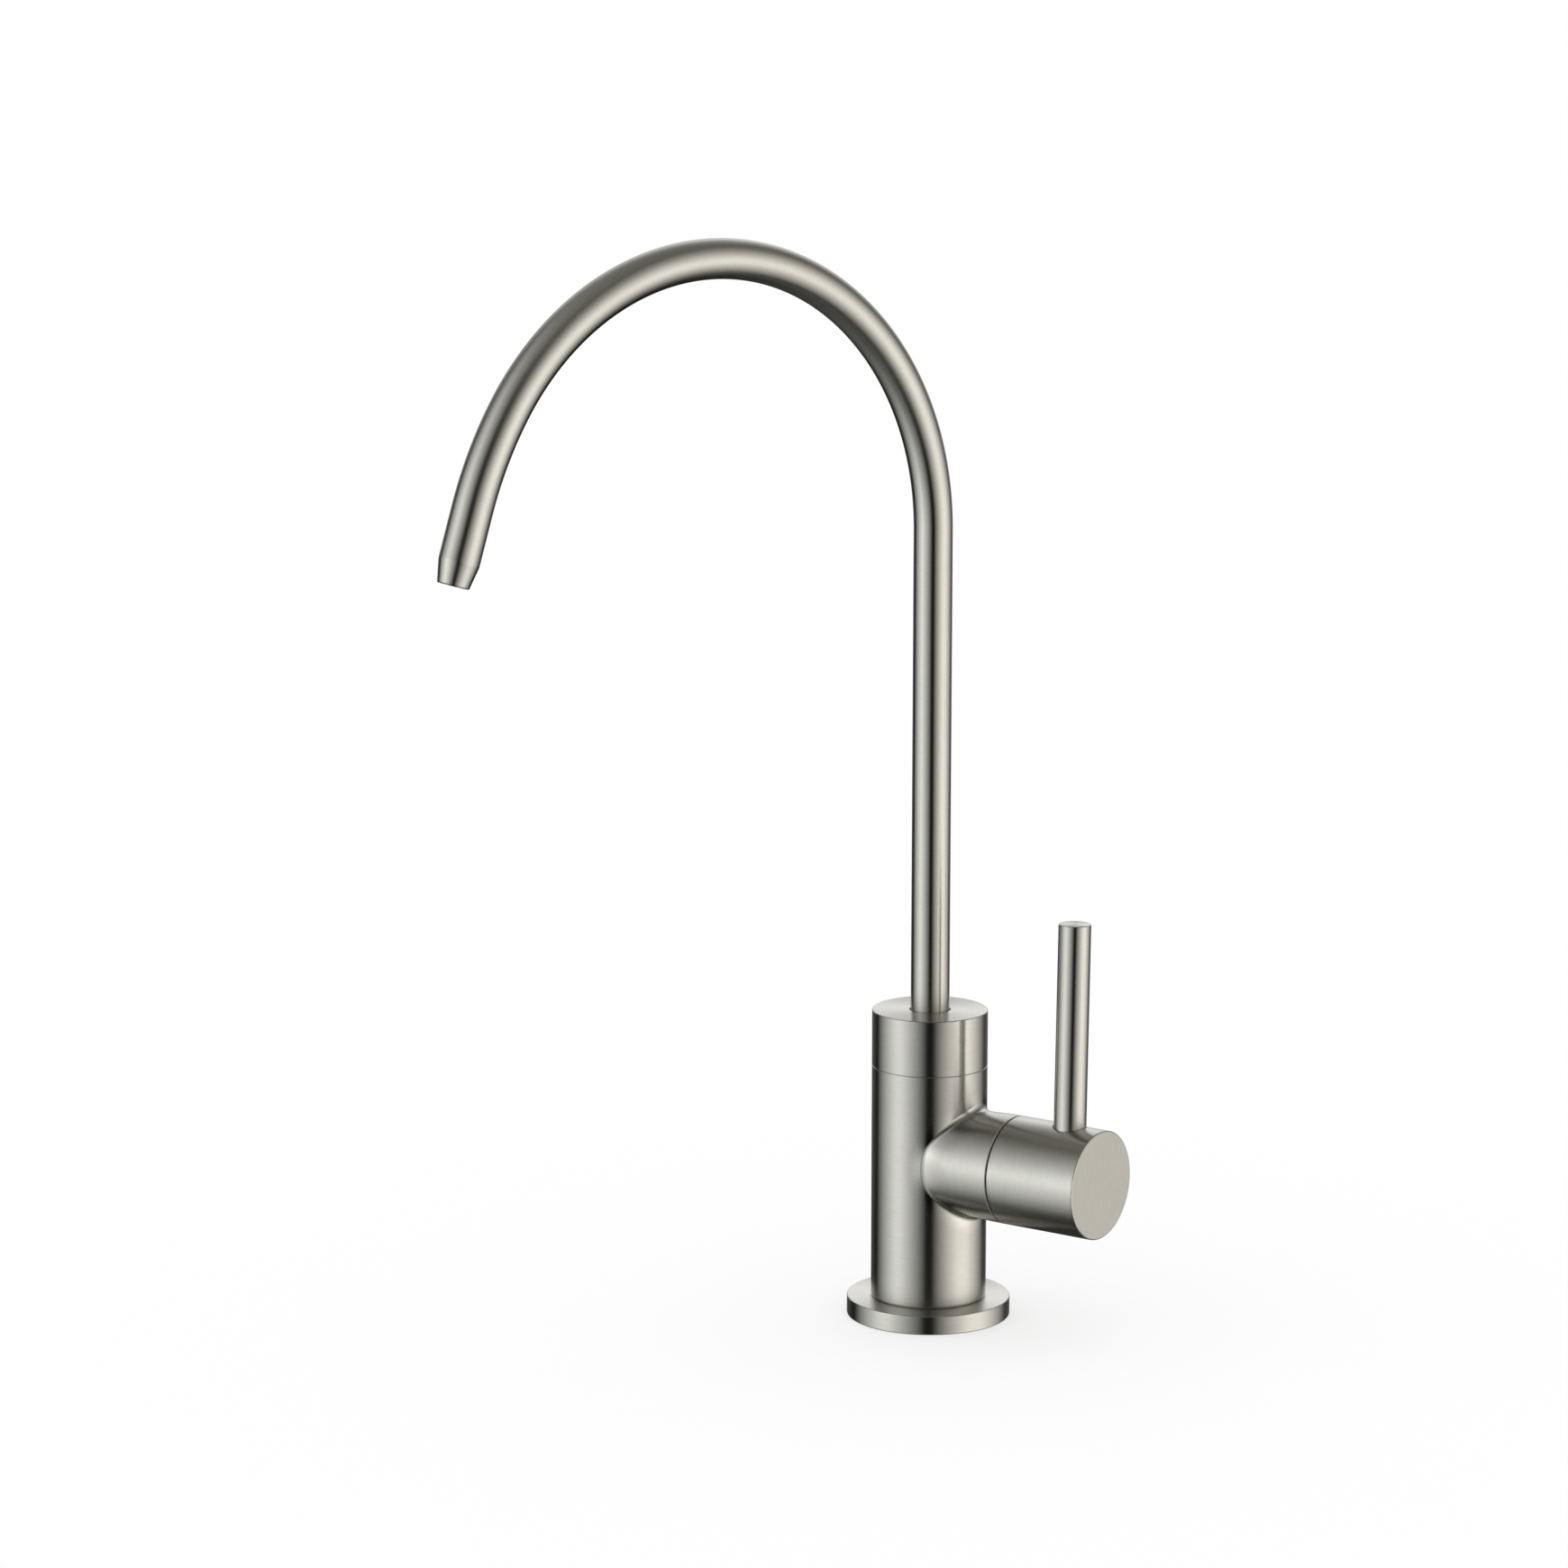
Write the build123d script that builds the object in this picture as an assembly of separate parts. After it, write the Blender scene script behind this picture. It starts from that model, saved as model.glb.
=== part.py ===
from build123d import *
import os
from math import cos, radians

# A water filter faucet: a round column on a foot, a gooseneck spout that swivels on top
# of it, and a quarter-turn ceramic disc valve in a side branch, worked by a rod lever.
# Millimetres and degrees. Z points up and the foot's underside lies at height 0. The
# column stands on the Z axis, the valve lies along +X, and -Y is the front.

# Clearances, each on one side of a diameter
TURNING_GAP = 0.08
THREAD_GAP = 0.04
PRESS_GAP = 0.02
RING_GAP = 0.06
WASHER_GAP = 0.4

# Sides of a rubber ring's section, how many times wider a cutting tool is than what it cuts,
# and a hexagon's width across its corners for each millimetre across its flats
RING_SIDES = 6
OVERSIZE = 2.0
CORNER_RATIO = 1 / cos(radians(30))

# Foot and gasket
FOOT_DIAMETER = 51.0
FOOT_THICKNESS = 6.0
FOOT_EDGE = 0.4
FOOT_FLOOR = 2.2
SPIGOT_DIAMETER = 24.0
SPIGOT_GAP = 0.1
GASKET_DIAMETER = 42.0
GASKET_WIDTH = 3.6
GASKET_THICKNESS = 1.5
GASKET_GAP = 0.2

# Column, branch and the blend between them
COLUMN_DIAMETER = 36.0
COLUMN_HEIGHT = 74.1
BRANCH_STEP = 1.1
BRANCH_HEIGHT = 51.0
BRANCH_REACH = 31.8
BLEND_RADIUS = 2.0
SEAM_EDGE = 0.2
RIM_EDGE = 0.4

# Cap
CAP_HEIGHT = 17.6
CAP_WALL = 3.0
CAP_ROOF = 5.2
CAP_HOLE_GAP = 0.4

# Spout tube, in its own plane: riser, crown arc, wider arc down, straight end, narrowed mouth
TUBE_DIAMETER = 12.0
TUBE_WALL = 1.0
RISER_LENGTH = 150.0
CROWN_RADIUS = 87.5
CROWN_SWEEP = 146.3
FALL_RADIUS = 114.0
FALL_SWEEP = 15.4
STRAIGHT_END = 15.3
MOUTH_LENGTH = 6.8
MOUTH_DIAMETER = 9.4
MOUTH_WALL = 1.1
MOUTH_BLEND = 6.0
SPOUT_HEADING = -105.0

# Stem of the spout
COLLAR_LIP = 4.0
COLLAR_THICKNESS = 3.0
COLLAR_GAP = 0.3
THRUST_THICKNESS = 1.5
THRUST_GAP = 0.2
PLUG_DIAMETER = 15.8
PLUG_LENGTH = 16.0
STEM_BORE = 6.5
STEM_SPIGOT = 10.0
SUMP_DEPTH = 2.0
STEM_RING_WIRE = 1.58
STEM_RING_START = 2.5
STEM_RING_PITCH = 6.0
GROOVE_SIDE = 0.35

# Water ways in the body
INLET_BORE = 6.5
SEAT_WALL = 2.25
SEAT_BORE = 6.0
OUTLET_BORE = 4.4
OUTLET_INSET = 0.4
INLET_OVERRUN = 3.0

# Valve cartridge, screwed into the branch
CARTRIDGE_THREAD = 18.0
CARTRIDGE_RELIEF = 1.0
CARTRIDGE_WALL = 1.1
CARTRIDGE_STANDOFF = 0.7
HEXAGON = 21.0
HEXAGON_THICKNESS = 4.0
BONNET_LENGTH = 5.0
BONNET_WALL = 1.6
CARTRIDGE_RING_WIRE = 0.9
WINDOW_WIDTH = 8.0
SEAL_THICKNESS = 3.0
SEAL_WIDTH = 1.9
DISC_THICKNESS = 3.2
DISC_GAP = 0.15
PORT_WIDTH = 3.7
PORT_ANGLE = 76.0
EAR_WIDTH = 3.0
EAR_HEIGHT = 0.8

# Spindle
SPINDLE_DIAMETER = 8.0
FORK_SPACE = 2.5
FORK_BITE = 1.3
FORK_WIDTH = 2.8
FLANGE_THICKNESS = 2.0
SLIP_THICKNESS = 0.8
SPINDLE_RING_WIRE = 1.0
SPINDLE_RING_START = 2.0
SPINDLE_RING_PITCH = 4.0
SPLINE_TEETH = 16
SPLINE_DEPTH = 0.45
SPLINE_TOOTH = 0.8
CLIP_THICKNESS = 0.7
CLIP_WIDTH = 2.4
CLIP_BITE = 0.8
CLIP_MOUTH = 70.0
STOP_THICKNESS = 2.2
STOP_LUG_ANGLE = 30.0
STOP_PLAY = 2.0
HANDLE_TRAVEL = 90.0

# Handle
HANDLE_GAP = 0.5
HUB_LENGTH = 31.0
HUB_CAVITY_DEPTH = 13.7
HEXAGON_CLEARANCE = 1.2
SPLINE_GRIP = 10.5
LEVER_DIAMETER = 10.0
LEVER_INSET = 11.7
LEVER_TOP = 80.0
LEVER_SEAT = 15.0
LEVER_SEAT_GAP = 0.3
LEVER_LEAN = 1.3
STUD_DIAMETER = 6.0
STUD_LENGTH = 6.5
GRUB_DIAMETER = 4.0
GRUB_LENGTH = 6.5
GRUB_SOCKET = 2.0
GRUB_SOCKET_DEPTH = 2.5

# Under the worktop
SHANK_DIAMETER = 11.11
SHANK_DROP = 62.0
SHANK_GRIP = 13.8
SHANK_EDGE = 0.8
SUPPLY_THREAD = 14.0
THREAD_RELIEF = 1.2
THREAD_RELIEF_DEPTH = 0.4
SHANK_RING_WIRE = 0.95
SHANK_RING_DEPTH = 1.5
WORKTOP_THICKNESS = 20.0
RUBBER_WASHER_DIAMETER = 32.0
RUBBER_WASHER_THICKNESS = 3.0
STEEL_WASHER_DIAMETER = 30.0
STEEL_WASHER_THICKNESS = 1.5
LOCK_NUT_HEXAGON = 22.0
LOCK_NUT_THICKNESS = 8.0

# Sizes that follow, on the column
HANDLE_DIAMETER = COLUMN_DIAMETER - 2 * BRANCH_STEP
SPIGOT_END = FOOT_FLOOR
SEAM_HEIGHT = FOOT_THICKNESS + COLUMN_HEIGHT
CAP_TOP = SEAM_HEIGHT + CAP_HEIGHT
CAP_CEILING = CAP_TOP - CAP_ROOF
COLLAR_TOP = CAP_CEILING - THRUST_THICKNESS
COLLAR_BOTTOM = COLLAR_TOP - COLLAR_THICKNESS
COLLAR_DIAMETER = TUBE_DIAMETER + 2 * COLLAR_LIP
NECK_DIAMETER = COLUMN_DIAMETER - 2 * CAP_WALL - 2 * THREAD_GAP
SOCKET_DIAMETER = PLUG_DIAMETER + 2 * TURNING_GAP
PLUG_BOTTOM = COLLAR_BOTTOM - PLUG_LENGTH
SOCKET_BOTTOM = PLUG_BOTTOM - SUMP_DEPTH
BEND_START = CAP_TOP + RISER_LENGTH
TUBE_BORE = TUBE_DIAMETER - 2 * TUBE_WALL
MOUTH_LEAD = MOUTH_BLEND / 2

# Sizes that follow, along the valve's axis from the column's axis outwards
SEAT_FACE = INLET_BORE / 2 + SEAT_WALL
BARREL_DIAMETER = CARTRIDGE_THREAD - 2 * CARTRIDGE_RELIEF
BARREL_BORE = BARREL_DIAMETER - 2 * CARTRIDGE_WALL
DISC_DIAMETER = BARREL_BORE - 2 * DISC_GAP
PORT_CIRCLE = BARREL_BORE - 2 * SEAL_WIDTH
CHAMBER_DIAMETER = CARTRIDGE_THREAD + 2 * THREAD_GAP
BARREL_START = SEAT_FACE + CARTRIDGE_STANDOFF
FIXED_DISC_START = SEAT_FACE + SEAL_THICKNESS
MOVING_DISC_START = FIXED_DISC_START + DISC_THICKNESS
MOVING_DISC_END = MOVING_DISC_START + DISC_THICKNESS
FLANGE_START = MOVING_DISC_END + FORK_SPACE
FLANGE_END = FLANGE_START + FLANGE_THICKNESS
SHOULDER = FLANGE_END + SLIP_THICKNESS
THREAD_START = SHOULDER + CARTRIDGE_WALL
CARTRIDGE_GROOVE = CARTRIDGE_RING_WIRE + 2 * GROOVE_SIDE
SPINDLE_BORE = SPINDLE_DIAMETER + 2 * TURNING_GAP
HEXAGON_END = BRANCH_REACH + HEXAGON_THICKNESS
BONNET_END = HEXAGON_END + BONNET_LENGTH
STOP_FLOOR = BONNET_END - STOP_THICKNESS - TURNING_GAP
STOP_DIAMETER = SPINDLE_DIAMETER + 2 * CLIP_WIDTH - 2 * CLIP_BITE
BONNET_BORE = STOP_DIAMETER + 2 * TURNING_GAP
BONNET_DIAMETER = BONNET_BORE + 2 * BONNET_WALL
CLIP_START = BONNET_END + TURNING_GAP
HUB_START = BRANCH_REACH + HANDLE_GAP
HUB_END = HUB_START + HUB_LENGTH
HUB_BOSS_FACE = HUB_START + HUB_CAVITY_DEPTH
HUB_CAVITY = HEXAGON * CORNER_RATIO + 2 * HEXAGON_CLEARANCE
SPINDLE_END = HUB_BOSS_FACE + SPLINE_GRIP
SPLINE_DIAMETER = SPINDLE_DIAMETER - 2 * TURNING_GAP
CLIP_GROOVE = SPINDLE_DIAMETER - 2 * CLIP_BITE - 2 * SPLINE_DEPTH
LEVER_PLACE = HUB_END - LEVER_INSET

# Sizes that follow, under the worktop
SHANK_TOP = SPIGOT_END + SHANK_GRIP
SHANK_BORE_TOP = SHANK_TOP + PRESS_GAP
RUBBER_WASHER_TOP = -WORKTOP_THICKNESS
STEEL_WASHER_TOP = RUBBER_WASHER_TOP - RUBBER_WASHER_THICKNESS
LOCK_NUT_TOP = STEEL_WASHER_TOP - STEEL_WASHER_THICKNESS

STANDING = (Align.CENTER, Align.CENTER, Align.MIN)
SMALL = 0.01


def disc(diameter, bottom, top):
    """Round solid on the Z axis between two heights."""
    return Pos(0, 0, bottom) * Cylinder(diameter / 2, top - bottom, align=STANDING)


def ring(outer, inner, bottom, top):
    """Disc with a round hole through it."""
    return disc(outer, bottom, top) - disc(inner, bottom, top)


def bar(outline, bottom, top):
    """Flat outline raised between two heights."""
    return extrude(Pos(0, 0, bottom) * outline, top - bottom)


def rim(shape, height):
    """Largest round edge of a shape at one height."""
    level = shape.edges().filter_by(GeomType.CIRCLE)
    level = level.filter_by_position(Axis.Z, height - SMALL, height + SMALL)
    return level.sort_by(SortBy.RADIUS)[-1]


def wedge(angle, reach):
    """Pie slice, centred on +X, for cutting sectors narrower than a half turn."""
    half = angle / 2
    corner = Rot(0, 0, half) * Pos(2 * reach, 0)
    other = Rot(0, 0, -half) * Pos(2 * reach, 0)
    return make_face(Polyline((0, 0), corner.position, (2 * reach, 0), other.position, close=True))


def groove_bottom(bore, wire):
    """Diameter at the bottom of a groove for a rubber ring that seals in this bore."""
    return bore - 2 * (wire + 2 * RING_GAP)


def ring_groove(bore, wire, height):
    """Tool that turns such a groove."""
    half_width = wire / 2 + GROOVE_SIDE
    return ring(OVERSIZE * bore, groove_bottom(bore, wire), height - half_width, height + half_width)


def rubber_ring(bore, wire, height):
    """Rubber ring between such a groove's bottom and the bore, a gap away from both."""
    wire_radius = bore / 2 - RING_GAP - wire / 2
    section = Plane.XZ * Pos(wire_radius, height) * RegularPolygon(wire / 2, RING_SIDES)
    return revolve(section, Axis.Z)


def on_valve_axis(shape):
    """Turn a piece made along Z to lie on the valve's axis. Its -X side then faces up."""
    return Pos(0, 0, BRANCH_HEIGHT) * Rot(0, 90, 0) * shape


def along_lever(shape):
    """Stand a piece made along Z on the lever's line, with height 0 on the valve's axis."""
    leaned = Rot(0, 0, -LEVER_LEAN) * Pos(0, 0, LEVER_PLACE) * Rot(0, -90, 0) * shape
    return on_valve_axis(leaned)


def spline(growth):
    """Outline of the toothed end of the spindle, or of a hole for it with some growth."""
    root = SPLINE_DIAMETER / 2 - SPLINE_DEPTH + growth
    outline = Circle(root)
    for tooth in PolarLocations(0, SPLINE_TEETH // 2, angular_range=180):
        outline += tooth * Rectangle(SPLINE_DIAMETER + 2 * growth, SPLINE_TOOTH + 2 * growth)
    return outline


def base_flange():
    """Foot with a groove for the gasket below and a recess for the body's spigot above."""
    foot = disc(FOOT_DIAMETER, 0, FOOT_THICKNESS)
    foot = chamfer([rim(foot, 0), rim(foot, FOOT_THICKNESS)], FOOT_EDGE)
    groove_outer = GASKET_DIAMETER + 2 * GASKET_GAP
    groove_inner = GASKET_DIAMETER - 2 * GASKET_WIDTH - 2 * GASKET_GAP
    foot -= ring(groove_outer, groove_inner, 0, GASKET_THICKNESS)
    foot -= disc(SPIGOT_DIAMETER + 2 * SPIGOT_GAP, FOOT_FLOOR, FOOT_THICKNESS)
    foot -= disc(SHANK_DIAMETER + 2 * WASHER_GAP, 0, FOOT_THICKNESS)
    return foot


def base_gasket():
    """Flat rubber ring, level with the foot's underside."""
    return ring(GASKET_DIAMETER, GASKET_DIAMETER - 2 * GASKET_WIDTH, 0, GASKET_THICKNESS)


def valve_body():
    """Column and branch, blended along their joint, then bored for water, spout and valve."""
    column = disc(COLUMN_DIAMETER, FOOT_THICKNESS, SEAM_HEIGHT)
    column = chamfer([rim(column, FOOT_THICKNESS), rim(column, SEAM_HEIGHT)], SEAM_EDGE)
    branch = disc(HANDLE_DIAMETER, 0, BRANCH_REACH)
    branch = chamfer(rim(branch, BRANCH_REACH), SEAM_EDGE)
    body = column + on_valve_axis(branch)
    body = fillet(body.edges().filter_by(GeomType.BSPLINE), BLEND_RADIUS)
    body += disc(SPIGOT_DIAMETER, SPIGOT_END, FOOT_THICKNESS)
    body += disc(NECK_DIAMETER, SEAM_HEIGHT, COLLAR_TOP)
    body -= disc(COLLAR_DIAMETER + 2 * COLLAR_GAP, COLLAR_BOTTOM, COLLAR_TOP)
    body -= disc(SOCKET_DIAMETER, SOCKET_BOTTOM, COLLAR_BOTTOM)
    body -= disc(SHANK_DIAMETER + 2 * THREAD_GAP, SPIGOT_END, SHANK_BORE_TOP)
    body -= disc(INLET_BORE, SHANK_BORE_TOP, BRANCH_HEIGHT + INLET_OVERRUN)
    body -= on_valve_axis(disc(SEAT_BORE, 0, SEAT_FACE))
    body -= on_valve_axis(disc(CHAMBER_DIAMETER, SEAT_FACE, BRANCH_REACH))
    outlet_place = (SOCKET_DIAMETER - OUTLET_BORE) / 2 - OUTLET_INSET
    outlet_bottom = BRANCH_HEIGHT + BARREL_DIAMETER / 2
    body -= Pos(outlet_place, 0, 0) * disc(OUTLET_BORE, outlet_bottom, SOCKET_BOTTOM)
    return body


def spout_cap():
    """Cap with a threaded skirt over the body's neck and a hole for the tube."""
    cap = disc(COLUMN_DIAMETER, SEAM_HEIGHT, CAP_TOP)
    cap = chamfer(rim(cap, SEAM_HEIGHT), SEAM_EDGE)
    cap = chamfer(rim(cap, CAP_TOP), RIM_EDGE)
    cap -= disc(COLUMN_DIAMETER - 2 * CAP_WALL, SEAM_HEIGHT, CAP_CEILING)
    cap -= disc(TUBE_DIAMETER + 2 * CAP_HOLE_GAP, CAP_CEILING, CAP_TOP)
    return cap


def spout_thrust_ring():
    """Plastic ring that the spout's collar turns against."""
    inner = TUBE_DIAMETER + 2 * THRUST_GAP
    return ring(COLLAR_DIAMETER, inner, COLLAR_TOP, CAP_CEILING)


def stem_ring_heights():
    """Heights of the two rubber rings on the stem."""
    first = PLUG_BOTTOM + STEM_RING_START
    return [first, first + STEM_RING_PITCH]


def spout_stem():
    """Turned plug with a collar, two ring grooves and a spigot that the tube is brazed to."""
    stem = disc(PLUG_DIAMETER, PLUG_BOTTOM, COLLAR_BOTTOM)
    stem = chamfer(rim(stem, PLUG_BOTTOM), RIM_EDGE)
    stem += disc(COLLAR_DIAMETER, COLLAR_BOTTOM, COLLAR_TOP)
    stem += disc(TUBE_BORE - 2 * PRESS_GAP, COLLAR_TOP, COLLAR_TOP + STEM_SPIGOT)
    for height in stem_ring_heights():
        stem -= ring_groove(SOCKET_DIAMETER, STEM_RING_WIRE, height)
    stem -= disc(STEM_BORE, PLUG_BOTTOM, COLLAR_TOP + STEM_SPIGOT)
    return stem


def spout_o_rings():
    """Two rubber rings that seal the stem in its socket."""
    return [rubber_ring(SOCKET_DIAMETER, STEM_RING_WIRE, height) for height in stem_ring_heights()]


def spout_path():
    """Centre line of the tube in its own plane, up to where the mouth narrows."""
    riser = Line((0, COLLAR_TOP), (0, BEND_START))
    crown = JernArc(riser @ 1, riser % 1, CROWN_RADIUS, -CROWN_SWEEP)
    fall = JernArc(crown @ 1, crown % 1, FALL_RADIUS, -FALL_SWEEP)
    straight = Line(fall @ 1, fall @ 1 + (fall % 1) * STRAIGHT_END)
    return Plane.XZ * (riser + crown + fall + straight)


def tube_mouth():
    """Swaged end of the tube along Z: a soft shoulder, then a slight cone."""
    outer = TUBE_DIAMETER / 2
    inner = TUBE_BORE / 2
    lip = MOUTH_DIAMETER / 2
    outside = FilletPolyline(
        (outer, -MOUTH_LEAD), (outer, 0), (lip, MOUTH_LENGTH), radius=MOUTH_BLEND
    )
    inside = FilletPolyline(
        (inner, -MOUTH_LEAD), (inner, 0), (lip - MOUTH_WALL, MOUTH_LENGTH), radius=MOUTH_BLEND
    )
    start = Line(inside @ 0, outside @ 0)
    end = Line(outside @ 1, inside @ 1)
    wall = Plane.XZ * make_face(outside + end + inside + start)
    return revolve(wall, Axis.Z)


def spout_tube():
    """Gooseneck: one tube swept along its path, with the mouth formed on its end."""
    path = spout_path()
    wall = Circle(TUBE_DIAMETER / 2) - Circle(TUBE_BORE / 2)
    tube = sweep(Plane(origin=path @ 0, z_dir=path % 0) * wall, path=path)
    mouth_frame = Plane(origin=path @ 1, z_dir=path % 1)
    tube -= mouth_frame * disc(OVERSIZE * TUBE_DIAMETER, -MOUTH_LEAD, MOUTH_LEAD)
    tube += mouth_frame * tube_mouth()
    return Rot(0, 0, SPOUT_HEADING) * tube


def hexagon(size):
    """Hexagon outline of this size across its flats."""
    return RegularPolygon(size / 2, 6, major_radius=False)


def cartridge_body():
    """Shell of the valve: barrel for the discs, thread, hexagon and bonnet with the stop notch."""
    shell = disc(BARREL_DIAMETER, BARREL_START, THREAD_START)
    shell += disc(CARTRIDGE_THREAD, THREAD_START, BRANCH_REACH - CARTRIDGE_GROOVE)
    shell += disc(CARTRIDGE_THREAD - 2 * CARTRIDGE_GROOVE, THREAD_START, BRANCH_REACH)
    shell += bar(hexagon(HEXAGON), BRANCH_REACH, HEXAGON_END)
    shell += disc(BONNET_DIAMETER, HEXAGON_END, BONNET_END)
    shell -= disc(BARREL_BORE, BARREL_START, SHOULDER)
    shell -= disc(SPINDLE_BORE, SHOULDER, STOP_FLOOR)
    shell -= disc(BONNET_BORE, STOP_FLOOR, BONNET_END)
    window = Rectangle(OVERSIZE * BARREL_DIAMETER, WINDOW_WIDTH)
    shell -= bar(window, MOVING_DISC_END, FLANGE_START)
    ear_slot = Rectangle(EAR_WIDTH + 2 * DISC_GAP, OVERSIZE * BARREL_DIAMETER)
    shell -= bar(ear_slot, BARREL_START, MOVING_DISC_START)
    notch_angle = HANDLE_TRAVEL + STOP_LUG_ANGLE + 2 * STOP_PLAY
    notch = Rot(0, 0, HANDLE_TRAVEL / 2) * wedge(notch_angle, BONNET_DIAMETER)
    shell -= bar(notch, STOP_FLOOR, BONNET_END)
    return on_valve_axis(shell)


def cartridge_o_ring():
    """Rubber ring between the hexagon and the branch's mouth."""
    place = BRANCH_REACH - CARTRIDGE_GROOVE / 2
    return on_valve_axis(rubber_ring(CHAMBER_DIAMETER, CARTRIDGE_RING_WIRE, place))


def seat_seal():
    """Rubber ring pressed between the inlet's seat and the fixed disc."""
    outer = BARREL_BORE - 2 * RING_GAP
    return on_valve_axis(ring(outer, outer - 2 * SEAL_WIDTH, SEAT_FACE, FIXED_DISC_START))


def ports():
    """Two opposite sector ports, centred on the X axis."""
    band = Circle(PORT_CIRCLE / 2) - Circle(PORT_CIRCLE / 2 - PORT_WIDTH)
    slice_shape = wedge(PORT_ANGLE, PORT_CIRCLE)
    return (band & slice_shape) + (band & Rot(0, 0, 180) * slice_shape)


def fixed_disc():
    """Ceramic disc with two ports, held from turning by ears in the barrel's slots."""
    ears = Rectangle(EAR_WIDTH, DISC_DIAMETER + 2 * EAR_HEIGHT)
    outline = Circle(DISC_DIAMETER / 2) + ears - Rot(0, 0, 90) * ports()
    return on_valve_axis(bar(outline, FIXED_DISC_START, MOVING_DISC_START))


def moving_disc():
    """Ceramic disc with two ports, a quarter turn off the fixed ones when closed."""
    outline = Circle(DISC_DIAMETER / 2) - ports()
    ceramic = bar(outline, MOVING_DISC_START, MOVING_DISC_END)
    slot = Rectangle(FORK_WIDTH + 2 * TURNING_GAP, OVERSIZE * DISC_DIAMETER)
    slot -= Rectangle(OVERSIZE * FORK_WIDTH, PORT_CIRCLE)
    ceramic -= bar(slot, MOVING_DISC_END - FORK_BITE - TURNING_GAP, MOVING_DISC_END)
    return on_valve_axis(ceramic)


def spindle_ring_places():
    """Places of the two rubber rings along the spindle."""
    first = SHOULDER + SPINDLE_RING_START
    return [first, first + SPINDLE_RING_PITCH]


def valve_spindle():
    """Spindle: a fork that drives the moving disc, a flange, ring grooves and the spline."""
    fork = Circle(DISC_DIAMETER / 2 - DISC_GAP) & Rectangle(FORK_WIDTH, DISC_DIAMETER)
    fork -= Rectangle(OVERSIZE * FORK_WIDTH, PORT_CIRCLE + 2 * TURNING_GAP)
    spindle = disc(DISC_DIAMETER, FLANGE_START, FLANGE_END)
    spindle += bar(fork, MOVING_DISC_END - FORK_BITE, FLANGE_START)
    spindle += disc(SPINDLE_DIAMETER, FLANGE_END, STOP_FLOOR)
    for place in spindle_ring_places():
        spindle -= ring_groove(SPINDLE_BORE, SPINDLE_RING_WIRE, place)
    spindle += bar(spline(0), STOP_FLOOR, SPINDLE_END)
    groove_start = CLIP_START - PRESS_GAP
    groove_end = CLIP_START + CLIP_THICKNESS + PRESS_GAP
    spindle -= ring(OVERSIZE * SPINDLE_DIAMETER, CLIP_GROOVE, groove_start, groove_end)
    return on_valve_axis(spindle)


def spindle_o_rings():
    """Two rubber rings that seal the spindle in the cartridge."""
    places = spindle_ring_places()
    rings = [rubber_ring(SPINDLE_BORE, SPINDLE_RING_WIRE, place) for place in places]
    return [on_valve_axis(piece) for piece in rings]


def spindle_slip_washer():
    """Plastic washer between the spindle's flange and the cartridge's shoulder."""
    inner = SPINDLE_DIAMETER + 2 * TURNING_GAP
    return on_valve_axis(ring(DISC_DIAMETER, inner, FLANGE_END, SHOULDER))


def stop_ring():
    """Ring on the spline whose lug meets the ends of the bonnet's notch."""
    band = Circle(BONNET_DIAMETER / 2) & wedge(STOP_LUG_ANGLE, BONNET_DIAMETER)
    outline = Circle(STOP_DIAMETER / 2) + band - spline(PRESS_GAP)
    return on_valve_axis(bar(outline, STOP_FLOOR + TURNING_GAP / 2, BONNET_END - TURNING_GAP / 2))


def spindle_circlip():
    """Open clip in the spindle's groove, outside the bonnet."""
    inner = CLIP_GROOVE + 2 * PRESS_GAP
    outline = Circle(inner / 2 + CLIP_WIDTH) - Circle(inner / 2)
    outline -= wedge(CLIP_MOUTH, SPINDLE_DIAMETER)
    return on_valve_axis(bar(outline, CLIP_START, CLIP_START + CLIP_THICKNESS))


def handle_hub():
    """Round handle: a cavity over the cartridge, a splined boss, and holes for rod and screw."""
    hub = disc(HANDLE_DIAMETER, HUB_START, HUB_END)
    hub = chamfer(rim(hub, HUB_START), SEAM_EDGE)
    hub = chamfer(rim(hub, HUB_END), RIM_EDGE)
    hub -= disc(HUB_CAVITY, HUB_START, HUB_BOSS_FACE)
    hub -= bar(spline(PRESS_GAP), HUB_BOSS_FACE, SPINDLE_END + WASHER_GAP)
    hub = on_valve_axis(hub)
    hub -= along_lever(disc(LEVER_DIAMETER + 2 * LEVER_SEAT_GAP, LEVER_SEAT, HANDLE_DIAMETER))
    hub -= along_lever(disc(STUD_DIAMETER + 2 * THREAD_GAP, LEVER_SEAT - STUD_LENGTH, LEVER_SEAT))
    hub -= along_lever(disc(GRUB_DIAMETER + 2 * THREAD_GAP, -HANDLE_DIAMETER, 0))
    return hub


def lever_rod():
    """Rod with a threaded stud at its foot and a flat top."""
    rod = disc(LEVER_DIAMETER, LEVER_SEAT, LEVER_TOP)
    rod = chamfer(rim(rod, LEVER_TOP), RIM_EDGE)
    rod += disc(STUD_DIAMETER, LEVER_SEAT - STUD_LENGTH + RIM_EDGE, LEVER_SEAT)
    return along_lever(rod)


def hub_set_screw():
    """Grub screw with a hexagon socket, pressed on the spline from below."""
    tip = -SPLINE_DIAMETER / 2 - PRESS_GAP
    head = tip - GRUB_LENGTH
    screw = disc(GRUB_DIAMETER, head, tip)
    screw -= bar(hexagon(GRUB_SOCKET), head, head + GRUB_SOCKET_DEPTH)
    return along_lever(screw)


def shank_ring_height():
    """Height of the rubber ring near the shank's upper end."""
    return SHANK_TOP - SHANK_RING_DEPTH


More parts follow.
